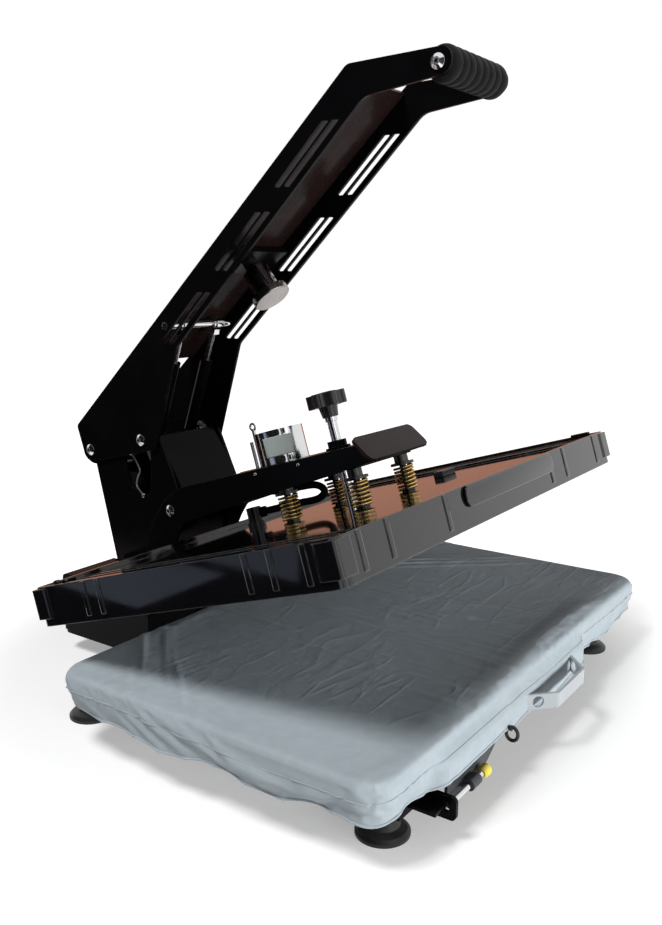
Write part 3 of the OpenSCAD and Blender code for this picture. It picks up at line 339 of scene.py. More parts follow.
GLOSS = paint(
    "gloss_black", (0.002, 0.002, 0.0025), (0.004, 0.004, 0.005), 0.03, 0.09, 0.035, coat=0.35, edge=1.8
)
SATIN = paint("satin_black", (0.0015, 0.0015, 0.0018), (0.0035, 0.0035, 0.004), 0.16, 0.28, 0.05, 0.05)
# Black satin paint for the yoke's front flange and the lever web, its brown base tone a painted warm reflection of
# the room
WARM_REFLECTION_SATIN = paint("satin_black_painted_warm_reflection", (0.010, 0.0055, 0.005), (0.016, 0.009, 0.0085), 0.22, 0.34, 0.05, 0.08)
LIGHT_GREY = paint(
    "light_grey", (0.32, 0.35, 0.37), (0.39, 0.42, 0.44), 0.3, 0.45, 0.06, 0.45, wear=(0.6, 0.6, 0.6)
)
SLATE = paint("slate", (0.028, 0.031, 0.036), (0.045, 0.048, 0.054), 0.35, 0.5, 0.05, 0.35)
CHROME = bright_metal("chrome", (0.66, 0.67, 0.69), (0.78, 0.78, 0.79), 0.08, 0.2, 0.4)
FACED = bright_metal("faced_steel", (0.2, 0.185, 0.18), (0.34, 0.315, 0.305), 0.12, 0.24, 0.05)
BLACKENED = bright_metal("blackened_steel", (0.05, 0.05, 0.052), (0.11, 0.105, 0.1), 0.22, 0.4, 0.3)
ZINC = bright_metal("zinc", (0.42, 0.43, 0.45), (0.6, 0.6, 0.6), 0.26, 0.42, 0.6)
ALUMINIUM = bright_metal("aluminium", (0.56, 0.57, 0.58), (0.68, 0.68, 0.69), 0.3, 0.45, 0.4)
BRASS = bright_metal("yellow_plated", (0.56, 0.37, 0.12), (0.78, 0.58, 0.26), 0.2, 0.36, 0.5)
KNOB_BLACK = moulded("knob_black", (0.008, 0.008, 0.009), (0.014, 0.014, 0.015), 0.16, 0.3, 0.03, 0.5)
RUBBER = moulded("black_rubber", (0.010, 0.010, 0.011), (0.022, 0.022, 0.023), 0.34, 0.55, 0.1, 0.4)
SLEEVE = moulded("lead_sleeve", (0.012, 0.012, 0.013), (0.03, 0.03, 0.031), 0.5, 0.7, 0.2, 0.3)
RED = moulded("red_plastic", (0.42, 0.02, 0.015), (0.5, 0.035, 0.02), 0.18, 0.3, 0.02)
YELLOW = moulded("yellow_plastic", (0.62, 0.5, 0.05), (0.74, 0.62, 0.09), 0.25, 0.4, 0.03)
SILICONE = moulded("silicone_pad", (0.42, 0.13, 0.07), (0.52, 0.2, 0.12), 0.55, 0.75, 0.2, 0.3)
LABEL = moulded("label_plate", (0.36, 0.41, 0.39), (0.44, 0.49, 0.47), 0.3, 0.45, 0.02, 0.4)
# Near-black for thin plates that stand in for the painted shade inside vent slots
SLOT_PAINTED_SHADE = moulded("slot_painted_shade", (0.01, 0.011, 0.012), (0.018, 0.018, 0.02), 0.4, 0.6, 0.02, 0.3)
FOAM = foam_skin()
CLOTH = coated_cloth("coated_cloth")
HEM = coated_cloth("cloth_binding", 0.2)
WOOL = wool_mat()
BOARD = board_mat()

SLOT_FINISH = {
    "black_paint": SATIN,
    "black_plastic": KNOB_BLACK,
    "chrome": CHROME,
    "zinc_steel": ZINC,
    "black_rubber": RUBBER,
    "red_plastic": RED,
    "aluminium": ALUMINIUM,
    "silicone": SILICONE,
    "silver_cloth": CLOTH,
    "grey_paint": LIGHT_GREY,
    "slate_paint": SLATE,
    "yellow_plastic": YELLOW,
    "circuit_board": BOARD,
    "wool": WOOL,
    "brass_wire": BRASS,
    "foam": FOAM,
}
NODE_FINISH = {
    "heat_cover": GLOSS,
    "yoke_front_flange": WARM_REFLECTION_SATIN,
    "lever_web": WARM_REFLECTION_SATIN,
    "armature": FACED,
    "suspension_bolts": BLACKENED,
    "spring_seats": BLACKENED,
}


def dress_frame():
    slot_of = {part["node"]: part["material_slot"] for part in frame["record"]["subparts"]}
    for name, obj in nodes.items():
        finish = NODE_FINISH.get(name, SLOT_FINISH[slot_of[name]])
        for place_in_mesh in obj.material_slots:
            place_in_mesh.material = finish


# Meshes


def piece(name, mesh, material, body=None, replaces=(), smooth=35):
    """Makes an object of a mesh in the row frame; it rides on body unless it is to be blended."""
    obj = bpy.data.objects.new(name, mesh)
    scene.collection.objects.link(obj)
    mesh.materials.append(material)
    mesh.shade_smooth()
    mesh.set_sharp_from_angle(angle=math.radians(smooth))
    if body:
        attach(obj, body)
    if replaces:
        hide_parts(*replaces)
    return obj


def mesh_of(name, bm, matrices=(Matrix.Identity(4),)):
    """One mesh that holds the shape once at each matrix."""
    shape = bpy.data.meshes.new(name + "_shape")
    bm.to_mesh(shape)
    bm.free()
    joined = bmesh.new()
    for matrix in matrices:
        copy = shape.copy()
        copy.transform(matrix)
        joined.from_mesh(copy)
        bpy.data.meshes.remove(copy)
    bmesh.ops.recalc_face_normals(joined, faces=joined.faces)
    mesh = bpy.data.meshes.new(name)
    joined.to_mesh(mesh)
    joined.free()
    bpy.data.meshes.remove(shape)
    return mesh


def lathe(profile, segments=48):
    """A solid turned about Z from (radius, height) points that start and end on the axis."""
    bm = bmesh.new()
    rings = []
    for radius, height in profile:
        if radius == 0:
            rings.append([bm.verts.new((0, 0, height))])
        else:
            turns = [2 * math.pi * k / segments for k in range(segments)]
            spots = [(radius * math.cos(a), radius * math.sin(a), height) for a in turns]
            rings.append([bm.verts.new(spot) for spot in spots])
    for low, high in zip(rings, rings[1:]):
        for k in range(segments):
            n = (k + 1) % segments
            corners = [low[k % len(low)], low[n % len(low)], high[n % len(high)], high[k % len(high)]]
            bm.faces.new(list(dict.fromkeys(corners)))
    return bm


def slab(outline, thickness, bevel):
    """A plate from an outline in XY, its lower face at z = 0, with rounded rims."""
    bm = bmesh.new()
    face = bm.faces.new([bm.verts.new((x, y, 0)) for x, y in outline])
    raised = bmesh.ops.extrude_face_region(bm, geom=[face])
    tops = [v for v in raised["geom"] if isinstance(v, bmesh.types.BMVert)]
    bmesh.ops.translate(bm, verts=tops, vec=(0, 0, thickness))
    bmesh.ops.recalc_face_normals(bm, faces=bm.faces)
    if bevel:
        rims = [e for e in bm.edges if abs(e.verts[0].co.z - e.verts[1].co.z) < 1e-6]
        bmesh.ops.bevel(bm, geom=rims, offset=bevel, segments=3, profile=0.6, affect="EDGES")
    return bm


def pill(length, height, corner, steps=8):
    """A rectangle with round corners, centred on the origin."""
    points = []
    for quarter, (sx, sy) in enumerate(((1, 1), (-1, 1), (-1, -1), (1, -1))):
        centre = (sx * (length / 2 - corner), sy * (height / 2 - corner))
        for k in range(steps + 1):
            a = math.radians(90 * quarter + 90 * k / steps)
            points.append((centre[0] + corner * math.cos(a), centre[1] + corner * math.sin(a)))
    return points


def carried_frames(points):
    """Two directions across a path at each point, carried along it without twist."""
    ahead = np.gradient(points, axis=0)
    ahead /= np.linalg.norm(ahead, axis=1)[:, None]
    across = np.cross(ahead[0], (0.0, 0.0, 1.0))
    if np.linalg.norm(across) < 1e-3:
        across = np.cross(ahead[0], (1.0, 0.0, 0.0))
    sides = []
    for step in ahead:
        across = across - step * (across @ step)
        across /= np.linalg.norm(across)
        sides.append((across, np.cross(step, across)))
    return sides


def tube(points, radius, sides=16, closed=False):
    """A round tube along points, capped unless it closes on itself."""
    points = np.array([tuple(p) for p in points], float)
    bm = bmesh.new()
    rings = []
    for point, (u, v) in zip(points, carried_frames(points)):
        angles = [2 * math.pi * k / sides for k in range(sides)]
        around = [radius * (math.cos(a) * u + math.sin(a) * v) for a in angles]
        rings.append([bm.verts.new(point + step) for step in around])
    pairs = list(zip(rings, rings[1:])) + ([(rings[-1], rings[0])] if closed else [])
    for low, high in pairs:
        for k in range(sides):
            n = (k + 1) % sides
            bm.faces.new([low[k], low[n], high[n], high[k]])
    if not closed:
        bm.faces.new(rings[0][::-1])
        bm.faces.new(rings[-1])
    return bm


def smooth_path(points, steps):
    """Points along a smooth curve through the given ones."""
    p = [Vector(q) for q in points]
    made = []
    for i in range(len(p) - 1):
        a, b, c, d = p[max(i - 1, 0)], p[i], p[i + 1], p[min(i + 2, len(p) - 1)]
        for k in range(steps):
            t = k / steps
            square = (2 * a - 5 * b + 4 * c - d) * t * t
            cube = (3 * b - 3 * c + d - a) * t**3
            made.append(0.5 * (2 * b + (c - a) * t + square + cube))
    return made + [p[-1]]


# Cloth cover

CORNER_R = 30
SHOULDER_R = 6
GRID_STEP = 5
SHOULDER_RINGS = 3
SKIRT_RINGS = 11
SEAM_RING = 4
SEAM_R = 0.7
HEM_CORD_R = 1.3
SHEET_Z = CLOTH_TOP - 1
PLATE_GAP_TOP = 89.4
FITTING_PUSH = 10.5
SETTLE_FRAMES = 28
SETTLE_LIMIT = 12


def ramp(value, low, high):
    t = np.clip((value - low) / (high - low), 0, 1)
    return t * t * (3 - 2 * t)


def hem_height(x, y):
    """Height of the hem: wavy, raised over the latch, and tucked up at the rear for the channels."""
    wavy = 45.5 + 3 * np.sin(np.radians(x * 1.9 + y * 2.6)) + 1.5 * np.sin((x - y) / 17)
    front = y < -CLOTH_D / 2 + CORNER_R
    latch = 8 * (1 - ramp(np.abs(x - LATCH_X), 52, 74))
    inner = 1 - ramp(np.abs(x), 190, 222)
    rear = (5 + 20 * inner) * ramp(y, CLOTH_D / 2 - 60, CLOTH_D / 2 - 15)
    return wavy + np.where(front, latch, 0) + rear


def over_fittings(x, y):
    """1 where the skirt hangs in front of the handle's flange or the latch plate."""
    handle = 1 - ramp(np.abs(x), 96, 116)
    latch = 1 - ramp(np.abs(x - LATCH_X), 58, 76)
    return np.where(y < -CLOTH_D / 2 + CORNER_R, np.maximum(handle, latch), 0)


def skirt_fold(arc, t):
    """How far the skirt folds inward, 0 to 1: slanting gathers that deepen towards the hem."""
    lean = 16 * t
    gathers = np.abs(np.sin((arc + lean) / 15 + 1.9 * np.sin(arc / 71))) ** 0.7
    broad = 0.5 + 0.5 * np.sin((arc + 2 * lean) / 37 + 1.3 * np.sin(arc / 113))
    return np.clip(0.65 * gathers * (0.45 + 0.55 * np.cos(arc / 160) ** 2) + 0.45 * broad, 0, 1)


def front_ridge(x, y):
    """The loose crest along the front edge, in mm."""
    along = ramp(x, -150, -60) * (1 - ramp(x, 160, 230))
    return 2.6 * np.exp(-(((y + 181 - 5 * np.sin(x / 60)) / 6.5) ** 2)) * along


def top_relief(x, y):
    """Low ridges of the loose sheet on the pad, in mm."""
    runs = ((0.36, 4, 15, 1.9), (0.52, -70, 11, 1.2), (-0.3, -110, 13, 1.0), (0.8, 60, 9, 1.1))
    low = np.zeros_like(x)
    for slope, rise, wide, high in runs:
        off = y - rise - slope * x - 14 * np.sin(x / 75 + rise)
        low = low + high * np.exp(-((off / wide) ** 2)) * (0.6 + 0.4 * np.sin(x / 48 + rise))
    inside = ramp(CLOTH_W / 2 - np.abs(x), 8, 40) * ramp(CLOTH_D / 2 - np.abs(y), 8, 40)
    return front_ridge(x, y) + low * inside


def cover_sheet():
    """The sheet as cut and fitted: a grid over the pad, and rings down the skirt from its outline."""
    half = np.array([CLOTH_W / 2 - SHOULDER_R, CLOTH_D / 2 - SHOULDER_R])
    corner = CORNER_R - SHOULDER_R
    counts = np.round(2 * half / GRID_STEP).astype(int)
    xs = np.linspace(-half[0], half[0], counts[0] + 1)
    ys = np.linspace(-half[1], half[1], counts[1] + 1)
    grid = np.array([[(x, y) for x in xs] for y in ys])
    signs = np.sign(grid)
    beyond = np.abs(grid) - (half - corner)
    in_corner = (beyond > 0).all(axis=2)
    reach = beyond.max(axis=2, keepdims=True)
    length = np.linalg.norm(beyond, axis=2, keepdims=True)
    round_off = signs * ((half - corner) + beyond / np.maximum(length, 1e-9) * reach)
    grid = np.where(in_corner[..., None], round_off, grid)
    rows, columns = grid.shape[:2]
    relief = top_relief(grid[..., 0], grid[..., 1])
    verts = [
        (x, y, SHEET_Z + lift) for row, lifts in zip(grid, relief) for (x, y), lift in zip(row, lifts)
    ]
    faces = [
        (r * columns + c, r * columns + c + 1, (r + 1) * columns + c + 1, (r + 1) * columns + c)
        for r in range(rows - 1)
        for c in range(columns - 1)
    ]
    rim = list(range(columns))
    rim += [r * columns + columns - 1 for r in range(1, rows)]
    rim += [(rows - 1) * columns + c for c in range(columns - 2, -1, -1)]
    rim += [r * columns for r in range(rows - 2, 0, -1)]
    outline = np.array([verts[i][:2] for i in rim])
    past = np.abs(outline) - (half - corner)
    way = np.where(past > 0, past, 0) * np.sign(outline)
    straight = (past <= 0).any(axis=1)
    way[straight] = np.where(past[straight] >= corner - 1e-6, 1, 0) * np.sign(outline[straight])
    way /= np.linalg.norm(way, axis=1)[:, None]
    hem = hem_height(outline[:, 0], outline[:, 1])
    pushed = over_fittings(outline[:, 0], outline[:, 1])
    tuck = 1 - 0.4 * ramp(-outline[:, 1], CLOTH_D / 2 - CORNER_R - 30, CLOTH_D / 2 - CORNER_R)
    arc = np.cumsum(np.r_[0, np.linalg.norm(np.diff(outline, axis=0), axis=1)])
    last = rim
    for k in range(1, SKIRT_RINGS + 1):
        if k <= SHOULDER_RINGS:
            a = math.radians(90 / SHOULDER_RINGS * k)
            out = np.full(len(rim), SHOULDER_R * math.sin(a))
            z = np.full(len(rim), SHEET_Z - SHOULDER_R * (1 - math.cos(a)))
        else:
            t = (k - SHOULDER_RINGS) / (SKIRT_RINGS - SHOULDER_RINGS)
            deep = (0.6 + 8.8 * skirt_fold(arc, t)) * tuck * t**1.2
            out = SHOULDER_R + FITTING_PUSH * pushed * min(1.0, 2.5 * t) - deep * (1 - 0.75 * pushed)
            z = SHEET_Z - SHOULDER_R + (hem - SHEET_Z + SHOULDER_R) * t
        ring = outline + way * out[:, None]
        first = len(verts)
        verts += [(x, y, h) for (x, y), h in zip(ring, z)]
        n = len(rim)
        now = list(range(first, first + n))
        faces += [(last[i], now[i], now[(i + 1) % n], last[(i + 1) % n]) for i in range(n)]
        last = now
    points = np.array(verts) * MM + np.array([0, TABLE_Y, 0])
    return points, faces, len(rim), rows * columns


def settle(cover, ring_size):
    """Lets the sheet settle over the pad, a little too large for it, with its elastic hem held."""
    tall = 20
    outline = pill(CLOTH_W - 5, CLOTH_D - 5, CORNER_R - 2, 10)
    under = [at_table(0, 0, CLOTH_TOP - 2 - tall)]
    form = bpy.data.objects.new("pad_form", mesh_of("pad_form", slab(outline, tall, 4), under))
    scene.collection.objects.link(form)
    form.modifiers.new("Collision", "COLLISION")
    form.collision.thickness_outer = 0.001
    form.collision.cloth_friction = 12
    group = cover.vertex_groups.new(name="hem")
    count = len(cover.data.vertices)
    group.add(range(count - ring_size, count), 1.0, "REPLACE")
    group.add(range(count - 2 * ring_size, count - ring_size), 0.35, "REPLACE")
    cloth = cover.modifiers.new("Cloth", "CLOTH")
    setting = cloth.settings
    setting.quality = 7
    setting.mass = 0.25
    setting.tension_stiffness = 18
    setting.compression_stiffness = 18
    setting.shear_stiffness = 8
    setting.bending_stiffness = 0.6
    setting.air_damping = 2
    setting.vertex_group_mass = "hem"
    setting.pin_stiffness = 1
    setting.shrink_min = -0.022
    cloth.collision_settings.distance_min = 0.001
    cloth.collision_settings.collision_quality = 3
    cloth.point_cache.frame_start = 1
    cloth.point_cache.frame_end = SETTLE_FRAMES
    for step in range(1, SETTLE_FRAMES + 1):
        scene.frame_set(step)
    settled = cover.evaluated_get(bpy.context.evaluated_depsgraph_get())
    points = np.array([v.co for v in settled.data.vertices], float)
    cover.modifiers.clear()
    cover.vertex_groups.clear()
    bpy.data.objects.remove(form)
    scene.frame_set(1)
    return points


def make_cover():
    points, faces, ring_size, rings_from = cover_sheet()
    mesh = bpy.data.meshes.new("cloth_cover")
    mesh.from_pydata(points.tolist(), [], faces)
    cover = piece("cloth_cover", mesh, CLOTH, replaces=["pad_cover"], smooth=180)
    start = points
    points = settle(cover, ring_size)
    moved = points - start
    far = np.linalg.norm(moved, axis=1)[:, None]
    x, y, z = (start - np.array([0, TABLE_Y, 0])).T / MM
    free = 1 - over_fittings(x, y) * (1 - ramp(z, 74, 84))
    kept = np.minimum(1, SETTLE_LIMIT * MM / np.maximum(far, 1e-9))
    points = start + moved * free[:, None] * kept
    points[:, 2] += front_ridge(x, y) * ramp(z, 82, 84.5) * MM
    points[:, 2] = np.minimum(points[:, 2], PLATE_GAP_TOP * MM)
    mesh.vertices.foreach_set("co", points.astype(np.float32).ravel())
    mesh.update()
    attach(cover, "drawer")
    fine = cover.modifiers.new("Subdivision", "SUBSURF")
    fine.levels = 1
    fine.render_levels = 1
    seam_from = rings_from + SEAM_RING * ring_size
    seam_ring = points[seam_from : seam_from + ring_size]
    mesh = mesh_of("cover_hem", tube(points[-ring_size:], HEM_CORD_R * MM, 8, True))
    hem = piece("cover_hem", mesh, HEM, "drawer")
    mesh = mesh_of("cover_seam", tube(seam_ring, SEAM_R * MM, 6, True))
    seam = piece("cover_seam", mesh, HEM, "drawer")


# Foam grip


def make_grip():
    low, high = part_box("grip_foam")
    centre = (low + high) / 2
    half = (high.x - low.x) / 2 / MM
    top = (high.z - low.z) / 2 / MM
    ribs, pitch, steps = 8, 14, 12
    profile = [(0, -half), (top - 5, -half), (top - 4, -half + 0.8)]
    for k in range(ribs):
        middle = (k - (ribs - 1) / 2) * pitch
        for s in range(steps + 1):
            t = -1 + 2 * s / steps
            profile.append((top - 2.6 * abs(t) ** 3.2, middle + t * pitch * 0.46))
    profile += [(top - 4, half - 0.8), (top - 5, half), (0, half)]
    turn = Matrix.Translation(centre) @ TO_RIGHT @ Matrix.Scale(MM, 4)
    mesh = mesh_of("grip_sleeve", lathe(profile, 72), [turn])
    grip = piece("grip_sleeve", mesh, FOAM, "lever", ["grip_foam"])


# Springs and heater lead

SPRING_PLACES = [(x, y) for x in (-49, 49) for y in (-37, 65)]
COIL_R, WIRE_R, TURNS = 11, 1.5, 7
UPPER_SEAT = 158
SEAT_GAP = 0.3
SPRING_LOW = TRAY_FLOOR + SEAT_GAP + WIRE_R
SPRING_HIGH = UPPER_SEAT - SEAT_GAP - WIRE_R


def coil_points():
    """Centreline of a compression spring whose end turns lie nearly closed."""
    steps = TURNS * 24
    closed_pitch = 2 * WIRE_R + 0.15
    open_pitch = (SPRING_HIGH - SPRING_LOW - 2 * closed_pitch) / (TURNS - 2)
    points = []
    for i in range(steps + 1):
        turn = TURNS * i / steps
        middle = max(0.0, min(turn - 1, TURNS - 2))
        ends = min(turn, 1) + max(0.0, turn - TURNS + 1)
        z = SPRING_LOW + closed_pitch * ends + open_pitch * middle
        a = 2 * math.pi * turn
        points.append((COIL_R * math.cos(a), COIL_R * math.sin(a), z))
    return points


def make_springs():
    coil = tube(coil_points(), WIRE_R, 12)
    mesh = mesh_of("suspension_coils", coil, [at_yoke(x, y, 0) for x, y in SPRING_PLACES])
    springs = piece(
        "suspension_coils", mesh, BRASS, replaces=["suspension_springs"], smooth=60
    )
    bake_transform(springs)


GLAND = (-35, 135)
LEAD_TURN = math.atan2(-25, 15)
LEAD_D = 9


def make_lead():
    """The lead leaves the gland, turns back under the web and goes up through it."""
    away = Vector((math.cos(LEAD_TURN), math.sin(LEAD_TURN), 0))
    start = Vector((*GLAND, TRAY_FLOOR + 16)) + 16 * away
    first = start + 9 * away
    route = [
        start,
        first,
        (-8, 86, 142),
        (0, 60, 142),
        (0, 48, 150),
        (0, 60, 159),
        (-4, 90, 161),
        (-9, 128, 164),
        (-10, 148, 174),
        (-10, 150, WEB_TOP - 12),
        (-10, 150, WEB_TOP - 4.3),
    ]
    path = [on_yoke(*p) for p in smooth_path(route, 12)]
    mesh = mesh_of("lead_sleeve", tube(path, LEAD_D / 2 * MM, 20))
    lead = piece("lead_sleeve", mesh, SLEEVE, replaces=["heater_lead"], smooth=60)
    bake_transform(lead)


# Small fittings


def screw_head(radius, height):
    """A domed head with a hexagon recess."""
    profile = [(0, height - 1.2), (radius * 0.36, height - 1.2), (radius * 0.42, height)]
    for k in range(7):
        a = math.radians(15 * k)
        profile.append((radius * (0.5 + 0.5 * math.sin(a)), height * math.cos(a) * 0.98))
    return lathe(profile + [(radius, 0), (0, 0)], 24)


def make_socket_rings():
    """Hexagon recesses in the domed heads of the linkage's bolts and the grip's screws."""
    heads = (
        ("yoke_pivot_bolts", "base"),
        ("lever_pivot_bolts", "base"),
        ("link_arm_bolts", "yoke"),
        ("link_top_bolts", "lever"),
        ("grip_screws", "lever"),
    )
    rim = [(0, -0.3), (2.3, -0.3), (2.45, 0.25), (2.9, 0.45), (3.5, 0.25), (3.7, -0.4), (0, -0.4)]
    for node, body in heads:
        low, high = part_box(node)
        centre = (low + high) / 2
        spots = []
        for x, turn in ((low.x, TO_LEFT), (high.x, TO_RIGHT)):
            outer = Vector((x, centre.y, centre.z))
            spots.append(Matrix.Translation(outer) @ turn @ Matrix.Scale(MM, 4))
        name = node + "_recess"
        piece(name, mesh_of(name, lathe(rim, 6), spots), ZINC, body, smooth=20)


def make_plaque():
    """The bare plate on the front wall."""
    x0, x1, z0, z1 = -93, 121, 110, 132
    outline = pill(x1 - x0, z1 - z0, 10)
    middle = ((x0 + x1) / 2, COVER_FRONT + 1, (z0 + z1) / 2)
    plate = mesh_of("front_plaque", slab(outline, 2.4, 0.7), [at_yoke(*middle, TO_FRONT)])
    piece("front_plaque", plate, GLOSS, "platen", smooth=25)


def make_magnet_label():
    """A pale bare plate bent round the magnet, with thin dark plates above and below it as the painted shade of
    vent slots.
    """
    radius, wide, z0, z1 = MAGNET_R + 0.15, 74, 9, 33
    facing = math.radians(212)
    on_magnet = at_yoke(0, MAGNET_Y, WEB_TOP)
    bm = bmesh.new()
    columns, rows = 20, [z0, z0 + 0.6, z1 - 0.6, z1]
    grid = []
    for k in range(columns + 1):
        a = facing + math.radians(wide) * (k / columns - 0.5)
        inside = min(k, columns - k) > 0
        grid.append([])
        for j, z in enumerate(rows):
            r = radius + (0.5 if inside and 0 < j < 3 else 0)
            grid[-1].append(bm.verts.new((r * math.cos(a), r * math.sin(a), z)))
    for left, right in zip(grid, grid[1:]):
        for j in range(3):
            bm.faces.new([left[j], right[j], right[j + 1], left[j + 1]])
    piece("magnet_label", mesh_of("magnet_label", bm, [on_magnet]), LABEL, "yoke")
    spots = []
    for z in (4.6, 37.2):
        for k in (-1, 0, 1):
            a = facing + math.radians(13 * k + 6)
            turn = Matrix.Rotation(a, 4, "Z") @ Matrix.Translation((MAGNET_R + 0.1, 0, z)) @ TO_RIGHT
            spots.append(on_magnet @ turn)
    # Thin dark plates on the magnet: painted shade where vent slots would be
    slot_shade_plate = slab(pill(6.4, 2.6, 1.25, 5), 0.35, 0.1)
    piece("magnet_slot_painted_shade", mesh_of("magnet_slot_painted_shade", slot_shade_plate, spots), SLOT_PAINTED_SHADE, "yoke")


def make_rivets():
    """Domed rivets on the left arm."""
    on_arm = [at_yoke(-ARM_OUT, y, z, TO_LEFT) for y, z in ((27.7, 188.4), (93.8, 189.2))]
    piece("arm_rivets", mesh_of("arm_rivets", screw_head(2.2, 1.4), on_arm), CHROME, "yoke")


def make_window_hook():
    """The bent wire behind the window of the left upright."""
    bends = [(361, 251), (352, 240), (346, 229), (351, 218), (353, 208), (346, 200), (340, 196)]
    wire = tube(smooth_path([(0, y, z) for y, z in bends], 6), 1.1, 10)
    x = 7 - ARM_OUT
    at = [at_table(x, 0, 0)]
    piece("window_hook", mesh_of("window_hook", wire, at), ZINC, "base", smooth=60)
    ends = [at_table(x, y, z, TO_LEFT) for y, z in (bends[0], bends[-1])]
    studs = mesh_of("window_studs", screw_head(3.2, 2.4), ends)
    piece("window_studs", studs, ZINC, "base")


def make_hook_bolt():
    """The small ring bolt between the latch plate and the handle."""
    centre = (-103, -CLOTH_D / 2 - 13, 46)
    turns = [2 * math.pi * k / 32 for k in range(32)]
    ring = tube([(0, 6 * math.cos(a), 7 * math.sin(a)) for a in turns], 1.8, 12, True)
    mesh = mesh_of("hook_ring", ring, [at_table(*centre)])
    piece("hook_ring", mesh, KNOB_BLACK, "drawer")
    shank = lathe([(0, -1), (4.6, -1), (5, -0.5), (5, 3.5), (2.2, 4), (2.2, 9), (0, 9)], 24)
    at = [at_table(centre[0], centre[1] + 9, centre[2] + 5, TO_FRONT)]
    piece("hook_shank", mesh_of("hook_shank", shank, at), KNOB_BLACK, "drawer")


def make_cover_fittings():
    """The terminal block in the tray, and the clip and screws on the rim of the heater cover."""
    block = slab(pill(34, 15, 2), 8, 1)
    at = [at_yoke(165, -22, TRAY_FLOOR)]
    mesh = mesh_of("tray_block", block, at)
    piece("tray_block", mesh, KNOB_BLACK, "platen", smooth=25)
    clip = slab(pill(7, 26, 3), 3.5, 1.2)
    at = [at_yoke(301, -158, COVER_TOP - 0.5)]
    piece("rim_clip", mesh_of("rim_clip", clip, at), GLOSS, "platen", smooth=25)
    heads = [at_yoke(-290, y, COVER_TOP) for y in (196, 182)]
    mesh = mesh_of("rim_screws", screw_head(4, 2.5), heads)
    piece("rim_screws", mesh, BLACKENED, "platen")


dress_frame()
make_cover()
make_grip()
make_springs()
make_lead()
make_socket_rings()
make_plaque()
make_magnet_label()
make_rivets()
make_window_hook()
make_hook_bolt()
make_cover_fittings()


# Floor, lights and camera

FLOOR_TONE = (0.74, 0.74, 0.74)
# Painted shade on the floor: its glow is 0.34 near the machine and rises to white between 0.34 m and 0.64 m out
FLOOR_PAINTED_SHADE_REACH = (0.34, 0.64)
FLOOR_GLOW_WITH_PAINTED_SHADE = (0.34, 1.0)


def stage_sheet(name, corners):
    """A four-cornered sheet of the set, and the emptied tree of its material."""
    mesh = bpy.data.meshes.new(name)
    mesh.from_pydata(corners, [], [(0, 1, 2, 3)])
    sheet = bpy.data.objects.new(name, mesh)
    scene.collection.objects.link(sheet)
    material = bpy.data.materials.new(name)
    mesh.materials.append(material)
    return sheet, bare_tree(material)


def ray_share(tree, *kinds):
    """1 for rays of these kinds and 0 for all others."""
    path = add_node(tree, "LightPath")
    share = path.outputs[kinds[0]]
    for kind in kinds[1:]:
        share = combine(tree, "MAXIMUM", share, path.outputs[kind])
    return share


def plain_floor():
    """A pale floor that keeps the cast shadows, with painted shade near the machine: its glow is lower there and
    turns white further out.
    """
    far = 12
    floor, tree = stage_sheet("floor", [(-far, -far, 0), (far, -far, 0), (far, far, 0), (-far, far, 0)])
    matt = add_node(tree, "BsdfDiffuse", {"Color": (*FLOOR_TONE, 1)})
    lift = add_node(tree, "Emission", {"Color": (1, 1, 1, 1)})
    seen = ray_share(tree, "Is Camera Ray", "Is Glossy Ray")
    spot = add_node(tree, "NewGeometry").outputs["Position"]
    away = add_node(tree, "VectorMath", {0: spot}, operation="LENGTH")
    # Painted shade: the glow is lower near the machine and stands in for its shadow on the floor
    level = spread(tree, away.outputs["Value"], *FLOOR_PAINTED_SHADE_REACH, *FLOOR_GLOW_WITH_PAINTED_SHADE)
    tree.links.new(combine(tree, "MULTIPLY", seen, level), lift.inputs["Strength"])
    both = add_node(tree, "AddShader")
    tree.links.new(matt.outputs[0], both.inputs[0])
    tree.links.new(lift.outputs[0], both.inputs[1])
    show(tree, both.outputs[0])


def white_world(level):
    """White where it is seen, directly or in reflections, and a dim even light elsewhere."""
    world = bpy.data.worlds.new("studio")
    scene.world = world
    tree = bare_tree(world)
    seen = ray_share(tree, "Is Camera Ray", "Is Glossy Ray", "Is Transmission Ray")
    strength = spread(tree, seen, 0, 1, level, 1)
    back = add_node(tree, "Background", {"Color": (1, 1, 1, 1), "Strength": strength})
    show(tree, back.outputs[0], "World")


def soft_light(name, at, aim, width, height, watts):
    """An area light that lights the set but isn't seen in reflections."""
    data = bpy.data.lights.new(name, "AREA")
    data.shape = "RECTANGLE"
    data.size = width
    data.size_y = height
    data.energy = watts
    lamp = bpy.data.objects.new(name, data)
    scene.collection.objects.link(lamp)
    lamp.location = at
    lamp.rotation_euler = (Vector(aim) - Vector(at)).to_track_quat("-Z", "Y").to_euler()
    lamp.visible_camera = False
    lamp.visible_glossy = False


def card(name, corners, tone, strength):
    """A card beside the set that only shows in reflections."""
    board, tree = stage_sheet(name, corners)
    glow = add_node(tree, "Emission", {"Color": (*tone, 1), "Strength": strength})
    show(tree, glow.outputs[0])
    board.visible_camera = False
    board.visible_diffuse = False
    board.visible_shadow = False


def upright_card(name, start, end, low, high, tone, strength=1.0):
    (x0, y0), (x1, y1) = start, end
    card(name, [(x0, y0, low), (x1, y1, low), (x1, y1, high), (x0, y0, high)], tone, strength)


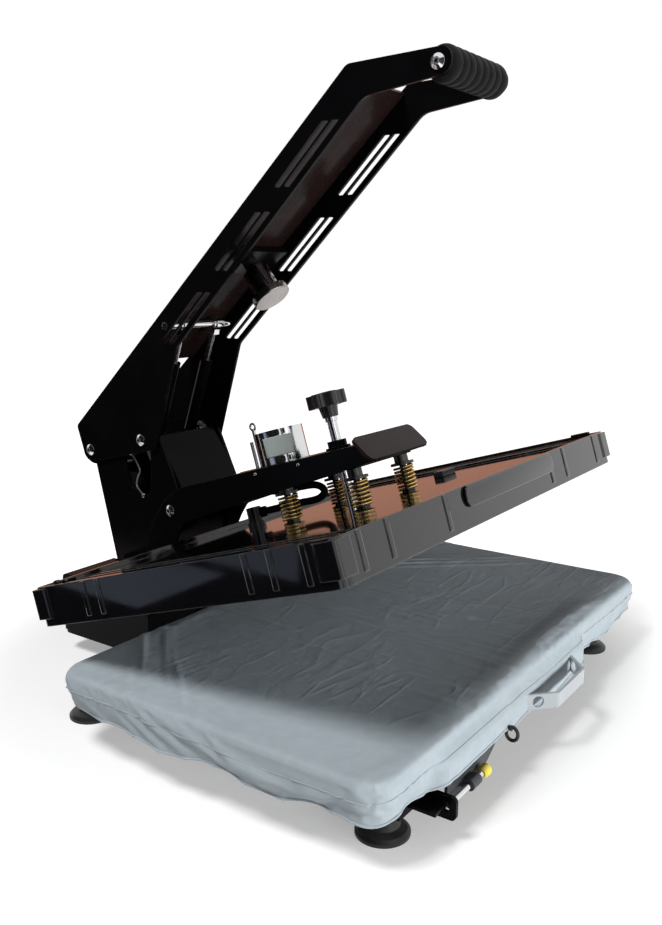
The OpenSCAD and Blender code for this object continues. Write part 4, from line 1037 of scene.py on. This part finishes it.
def floor_card(name, left, right, near, far, tone, strength=1.0, z=0.002):
    card(name, [(left, near, z), (right, near, z), (right, far, z), (left, far, z)], tone, strength)


BLACK = (0.01, 0.01, 0.011)
SLATE_SKY = (0.3, 0.34, 0.44)
COPPER_WALL = (0.44, 0.21, 0.145)

plain_floor()
white_world(0.09)
soft_light("key", (-1.2, 0.15, 2.0), (-0.15, -0.25, 0.09), 0.6, 0.6, 38)
soft_light("front", (-0.1, -2.4, 0.22), (0, -0.2, 0.07), 1.9, 0.3, 62)
upright_card("dark_left", (-0.82, -1.2), (-0.82, 1.9), 0.002, 1.6, BLACK)
upright_card("strip_left", (-0.80, -0.8), (-0.80, -0.56), 0.05, 1.2, (1, 1, 1), 1.1)
upright_card("strip_front", (-0.42, -1.5), (-0.3, -1.5), 0.05, 1.2, (1, 1, 1), 3.5)
upright_card("slate_left", (-0.81, 0.16), (-0.81, 0.62), 0.02, 0.2, SLATE_SKY)
floor_card("dark_floor_side", -0.82, -0.36, -0.35, 0.4, BLACK)
floor_card("dark_floor_rear", -0.82, -0.32, 0.4, 1.9, BLACK)
floor_card("slate_floor", -0.81, -0.62, 0.31, 0.5, SLATE_SKY, z=0.004)
upright_card("warm_right", (1.5, 0.05), (0.25, 1.75), 0.002, 0.62, COPPER_WALL)
floor_card("warm_floor", -0.3, 1.2, 0.5, 1.7, COPPER_WALL)

FOCAL_PX = 917.43
PICTURE_HIGH_PX = 925
CAMERA_DOWN = 11.56
CAMERA_TURN = -54.65
camera_data = bpy.data.cameras.new("camera")
camera_data.sensor_fit = "VERTICAL"
camera_data.sensor_width = 36
camera_data.sensor_height = 36
camera_data.lens = FOCAL_PX / PICTURE_HIGH_PX * camera_data.sensor_height
camera = bpy.data.objects.new("camera", camera_data)
scene.collection.objects.link(camera)
camera.location = place(-870.1, -539.51, 480.65)
camera.rotation_euler = (math.radians(90 - CAMERA_DOWN), 0, math.radians(CAMERA_TURN))
scene.camera = camera
scene.view_settings.view_transform = "Standard"
